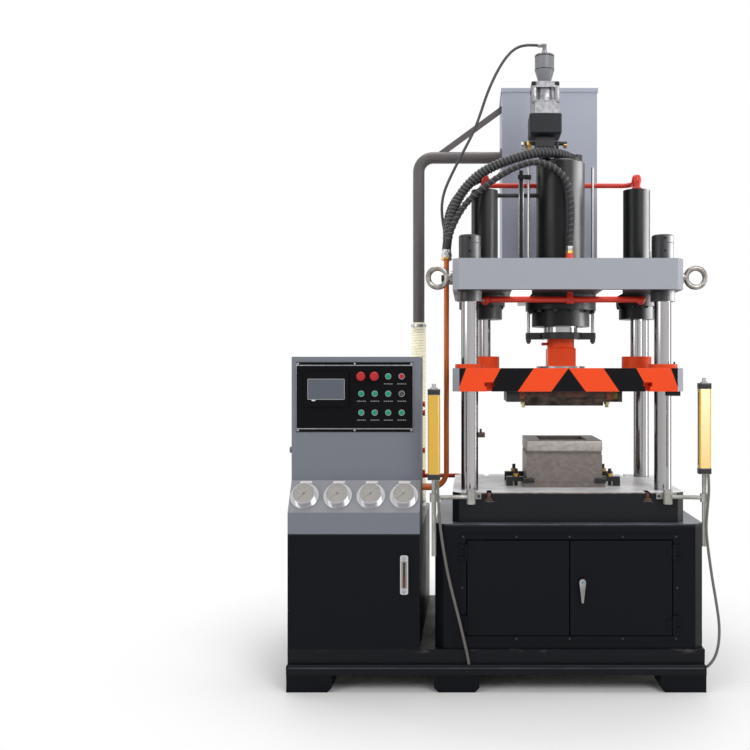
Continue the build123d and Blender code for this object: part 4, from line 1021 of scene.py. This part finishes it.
curtain_low, curtain_high = corners("light_curtains")
curtain_y = (curtain_low.y + curtain_high.y) / 2
curtain_half, curtain_depth, curtain_height, curtain_cap = 26.0, 20.0, 337.0, 26.0
lenses, caps, studs = [], [], []
for x, low, inward in ((-583.0, 935.0, 1), (575.0, 961.0, -1)):
    face = x + inward * curtain_half
    high = low + curtain_height
    lenses.append((sorted((face - inward, face + inward * 0.6)), span(curtain_y, 9), (low + 12, high - 12)))
    for z in ((low - curtain_cap, low), (high, high + curtain_cap)):
        caps.append((span(x, curtain_half + 0.5), span(curtain_y, curtain_depth + 0.5), z))
    studs.append(((x, curtain_y, high + curtain_cap), up, [
        (0, 0), (16, 0), (16, 6), (9, 7), (9, 20), (7, 22.5), (0, 22.5)]))
boxes("curtain_lenses", "lens_dark", lenses, soft=0.3)
boxes("curtain_caps", "cap_black", caps, soft=3.0)
turnings("curtain_studs", "screw_steel", studs, steps=20)
bracket_x, ear_reach, ear_y = 424.0, 34.0, -372.0
turnings("bracket_screws", "dark_screw", [
    ((sign * bracket_x + shift, ear_y, bed_top - 14), toward, screw_head(7, 6))
    for sign in sides for shift in (-ear_reach, ear_reach)], steps=20)

# Upper die: nuts, clamp blocks and packers

upper_low, upper_high = corners("upper_die")
turnings("upper_die_nuts", "pale_brass", [
    ((x, upper_low.y + 40, upper_low.z + 17), down, [(0, 0), (13, 0), (13, 12), (8, 12), (8, 26), (0, 26)])
    for x in (-184, 198)], body="slide", steps=6)


def upper_blocks(name, look, spans, proud, depth, soft):
    """Blocks on the upper die's front: (left, right, drop to the foot, drop to the head) each."""
    boxes(name, look, [((left, right), (upper_low.y - proud, upper_low.y + depth),
                       (upper_high.z - foot, upper_high.z - head)) for left, right, foot, head in spans],
          soft, body="slide")


left, right = upper_low.x, upper_high.x
upper_blocks("upper_clamp_left", "cap_black", [(left - 0.5, left + 58, 46, 2)], 1.5, 60, 3.0)
upper_blocks("upper_clamp_right", "olive_brass", [(right - 44, right - 21, 40, 4)], 1.5, 60, 3.0)
upper_blocks("upper_clamp_edge", "cap_black", [(right - 21, right + 0.5, 46, 2)], 1.5, 60, 3.0)
upper_blocks("upper_packers", "rust_orange", [
    (left + 59, left + 82, 38, 2), (right - 72, right - 45, 42, 2)], 1.2, 40, 2.0)
upper_blocks("upper_die_band", "rust_brown", [(left + 84, right - 74, 30, 2)], 0.8, 5, 0.5)

# Lower die: pale cap, parting lines, strap tips and nuts

die_low, die_high = corners("lower_die")
boxes("die_cap", "die_light", [
    (span(0, 169), (die_low.y - 0.4, die_low.y + 1), (die_high.z - 45, die_high.z - 2))], soft=0.2)
strap_end, strap_width, strap_thick = 188.0, 51.0, 20.0
strap_low = bed_top + 22
boxes("strap_tips", "nut_black", [
    (sorted((sign * strap_end, sign * (strap_end - strap_width))), (die_low.y - 16, -172),
     (strap_low, strap_low + strap_thick)) for sign in sides], soft=2.0)
boxes("die_seams", "upper_die_steel", [
    (span(0, 171.4), (die_low.y - 0.4, die_high.y + 0.4), span(z, 0.7))
    for z in (die_low.z + 25, die_high.z - 55)])
stud_x, stud_y, stud_hole = 216.3, 110.0, 8.2
turnings("strap_nuts", "brass", [
    ((x, y, strap_low + strap_thick), up, [
        (stud_hole, 0), (14.6, 0), (14.6, 14), (13, 15.4), (stud_hole, 15.4), (stud_hole, 0)])
    for x in (-stud_x, stud_x) for y in (-stud_y, stud_y)], steps=6)

# Bed and base: T-slot bolts, worn bed edges and painted edge highlights

slot_pair = (-slot_x, slot_x)
slot_bolt = ((9, 6, 24, 36, 3), (18, 3, 26, 38, 25))
boxes("slot_bolts", "rust_brown", [
    (span(x, half), (bed_low.y + front, bed_low.y + back), (bed_top - foot, bed_top - head))
    for half, front, back, foot, head in slot_bolt for x in slot_pair], soft=2.0)
bed_edges = ((-473, -357), (-333, 333), (357, 473))
boxes("bed_edge", "rust_pale", [
    (x, (bed_low.y - 0.4, bed_low.y + 1.5), (bed_top - 5.5, bed_top - 0.5)) for x in bed_edges], soft=0.3)


def highlight_strip(name, look, low, high, inset, z):
    """A lighter strip along a box's front edge: a painted highlight where the rounded edge catches the light.
    """
    boxes(name, look, [((low.x + inset, high.x - inset), (low.y - 0.5, low.y + 2), z)], soft=0.4)


lid_low, lid_high = corners("cabinet_top")
skid_low, skid_high = corners("skid")
# Painted highlights along the cabinet top's front edge and across the skid's lower beam.
highlight_strip("cabinet_highlight_strip", "highlight_grey", lid_low, lid_high, 42, (lid_high.z - 5, lid_high.z - 1))
highlight_strip("skid_highlight_strip", "highlight_dark", skid_low, skid_high, 8, (skid_low.z + 27, skid_low.z + 33))

# Small trim by the left column, on the coupling and on the slide

boxes("sensor_block", "upper_die_steel", [((-394, -362), (-274, -246), (1080, 1102))], soft=2.0)
rod("sensor_bolt", "dark_screw", (-381, -260, 1102), (-381, -260, 1118), 5, soft=1.0)
coupling_bolt_z = corners("ram_coupling")[1].z - 22
rod("coupling_bolt", "red_paint", (-92, -20, coupling_bolt_z), (-60, -20, coupling_bolt_z), 7,
    soft=1.5, body="slide")
rod("slide_lever", "gearbox_black", (468, -300, slide_high.z), (474, -300, slide_high.z + 28), 4,
    soft=1.0, body="slide")
boxes("slide_stop", "gearbox_black", [
    ((444, 494), (-330, -290), (slide_low.z - 20, slide_low.z))], soft=2.0, body="slide")

# Link conduit from the left return cylinder to the main cylinder

conduit_y, conduit_z, conduit_radius = 30.0, return_top - 16, 9.5
ring_start, ring_pitch, ring_count = -296, 9.0, 20
rod("link_conduit", "rubber", (-306, conduit_y, conduit_z), (-110.5, conduit_y, conduit_z), conduit_radius)
turnings("conduit_rings", "guard_black", [
    ((ring_start + ring_pitch * i, conduit_y, conduit_z), rightward, [
        (9.6, 0), (11.6, 1), (11.6, 4), (9.6, 5), (9.6, 0)]) for i in range(ring_count)], steps=20)

# Clear hose: spiral rib and band clamps

hose_low, hose_high = corners("overflow_hose")
hose_x = (hose_low.x + hose_high.x) / 2
hose_y = (hose_low.y + hose_high.y) / 2
hose_line = [place(hose_x, hose_y, hose_low.z + 40), place(hose_x, hose_y, hose_high.z - 20)]
wrap("hose_rib", "rib_pale", hose_line, 37.8, 1.8, 14.0)
turnings("hose_bands", "bright_steel", [
    ((hose_x, hose_y, z), up, collar(38.1, 39.4, 12)) for z in (hose_high.z - 22, hose_low.z + 18)])

# Floor and backdrop, in metres: white to the eye far from the press, lit near it

floor_reach, fade_start, fade_end = 60.0, 1.0, 2.0
floor_mesh = bpy.data.meshes.new("floor")
floor_mesh.from_pydata([(a * floor_reach, b * floor_reach, 0) for a, b in rectangle], [], [(0, 1, 2, 3)])
floor_white = finish("floor_white", (0.86, 0.86, 0.86, 1), 0.6)
distance = add_node(floor_white, "ShaderNodeVectorMath", operation="LENGTH")
position = add_node(floor_white, "ShaderNodeNewGeometry")
join(floor_white, position.outputs["Position"], distance.inputs[0])
fade = between(floor_white, distance.outputs["Value"], fade_start, fade_end, shape="SMOOTHSTEP")
backdrop = add_node(floor_white, "ShaderNodeEmission")
backdrop.inputs["Color"].default_value = (1, 1, 1, 1)
cover = add_node(floor_white, "ShaderNodeMixShader")
floor_nodes = floor_white.node_tree.nodes
join(floor_white, maths(floor_white, "MULTIPLY", fade, seen_rays(floor_white)), cover.inputs["Fac"])
join(floor_white, floor_nodes["Principled BSDF"].outputs["BSDF"], cover.inputs[1])
join(floor_white, backdrop.outputs["Emission"], cover.inputs[2])
join(floor_white, cover.outputs["Shader"], floor_nodes["Material Output"].inputs["Surface"])
floor_mesh.materials.append(floor_white)
show("floor", floor_mesh)

# World: white where it is seen, and dimmer light from the sides than from front and back

world = bpy.data.worlds.new("studio")
bpy.context.scene.world = world
world.use_nodes = True
front_level, side_level = 0.42, 0.2
background = world.node_tree.nodes["Background"]
background.inputs["Color"].default_value = (1, 1, 1, 1)
direction = add_node(world, "ShaderNodeTexCoord").outputs["Generated"]
sideways = maths(world, "ABSOLUTE", along(world, direction, "X"))
level = between(world, sideways, 0.35, 0.75, front_level, side_level)
join(world, blended(world, seen_rays(world), level, 1.0, "FLOAT"), background.inputs["Strength"])


# Lights: place, aim and size in metres, power in watts

def softbox(name, spot, aim, size, power):
    light = bpy.data.lights.new(name, "AREA")
    light.shape = "RECTANGLE"
    light.size, light.size_y = size
    light.energy = power
    obj = show(name, light)
    obj.location = spot
    obj.rotation_euler = (Vector(aim) - Vector(spot)).to_track_quat("-Z", "Y").to_euler()
    return obj


def group(name, members):
    collection = bpy.data.collections.new(name)
    for member in members:
        collection.objects.link(nodes[member])
    return collection


softbox("key", (2.6, -5.2, 4.6), (0.1, 0.0, 1.3), (3.0, 3.0), 165)
softbox("fill", (-4.6, -4.0, 3.2), (0.0, 0.0, 1.3), (3.0, 3.0), 95)
softbox("top", (0.0, 0.4, 6.0), (0.1, 0.0, 1.0), (4.0, 4.0), 185)
softbox("right_strip", (4.2, -0.3, 2.0), (0.3, -0.2, 1.7), (1.1, 3.6), 60)
softbox("left_strip", (-3.8, 1.2, 2.2), (0.0, -0.2, 1.8), (0.5, 3.2), 22)
sheen = softbox("cylinder_sheen", (4.2, -0.5, 2.0), (0.3, -0.2, 1.9), (4.2, 3.6), 1000)
sheen.light_linking.receiver_collection = group("dark_rounds", (
    "main_cylinder", "return_cylinders", "column_nuts"))
sheen.light_linking.blocker_collection = group("open_way", ("column_nuts",))
glare = softbox("curtain_glare", (1.95, -4.6, 1.75), (0.88, -0.6, 1.15), (0.8, 1.6), 170)
glare.light_linking.receiver_collection = group("curtains", ("light_curtains",))

# Camera at the photo's height, square to the press

view_height, view_gap, view_left = 1371.0, 4000.0, 422.0
sensor, photo_side = 36.0, 750.0
focal_px, centre_px = 920.0, (471.5, 372.0)
camera = bpy.data.cameras.new("camera")
camera.sensor_width = sensor
camera.lens = focal_px / photo_side * sensor
camera.shift_x = (photo_side / 2 - centre_px[0]) / photo_side
camera.shift_y = (centre_px[1] - photo_side / 2) / photo_side
viewer = show("camera", camera)
viewer.location = place(-view_left, front_y - view_gap, view_height)
viewer.rotation_euler = (pi / 2, 0, 0)
bpy.context.scene.camera = viewer
bpy.context.scene.view_settings.view_transform = "Standard"
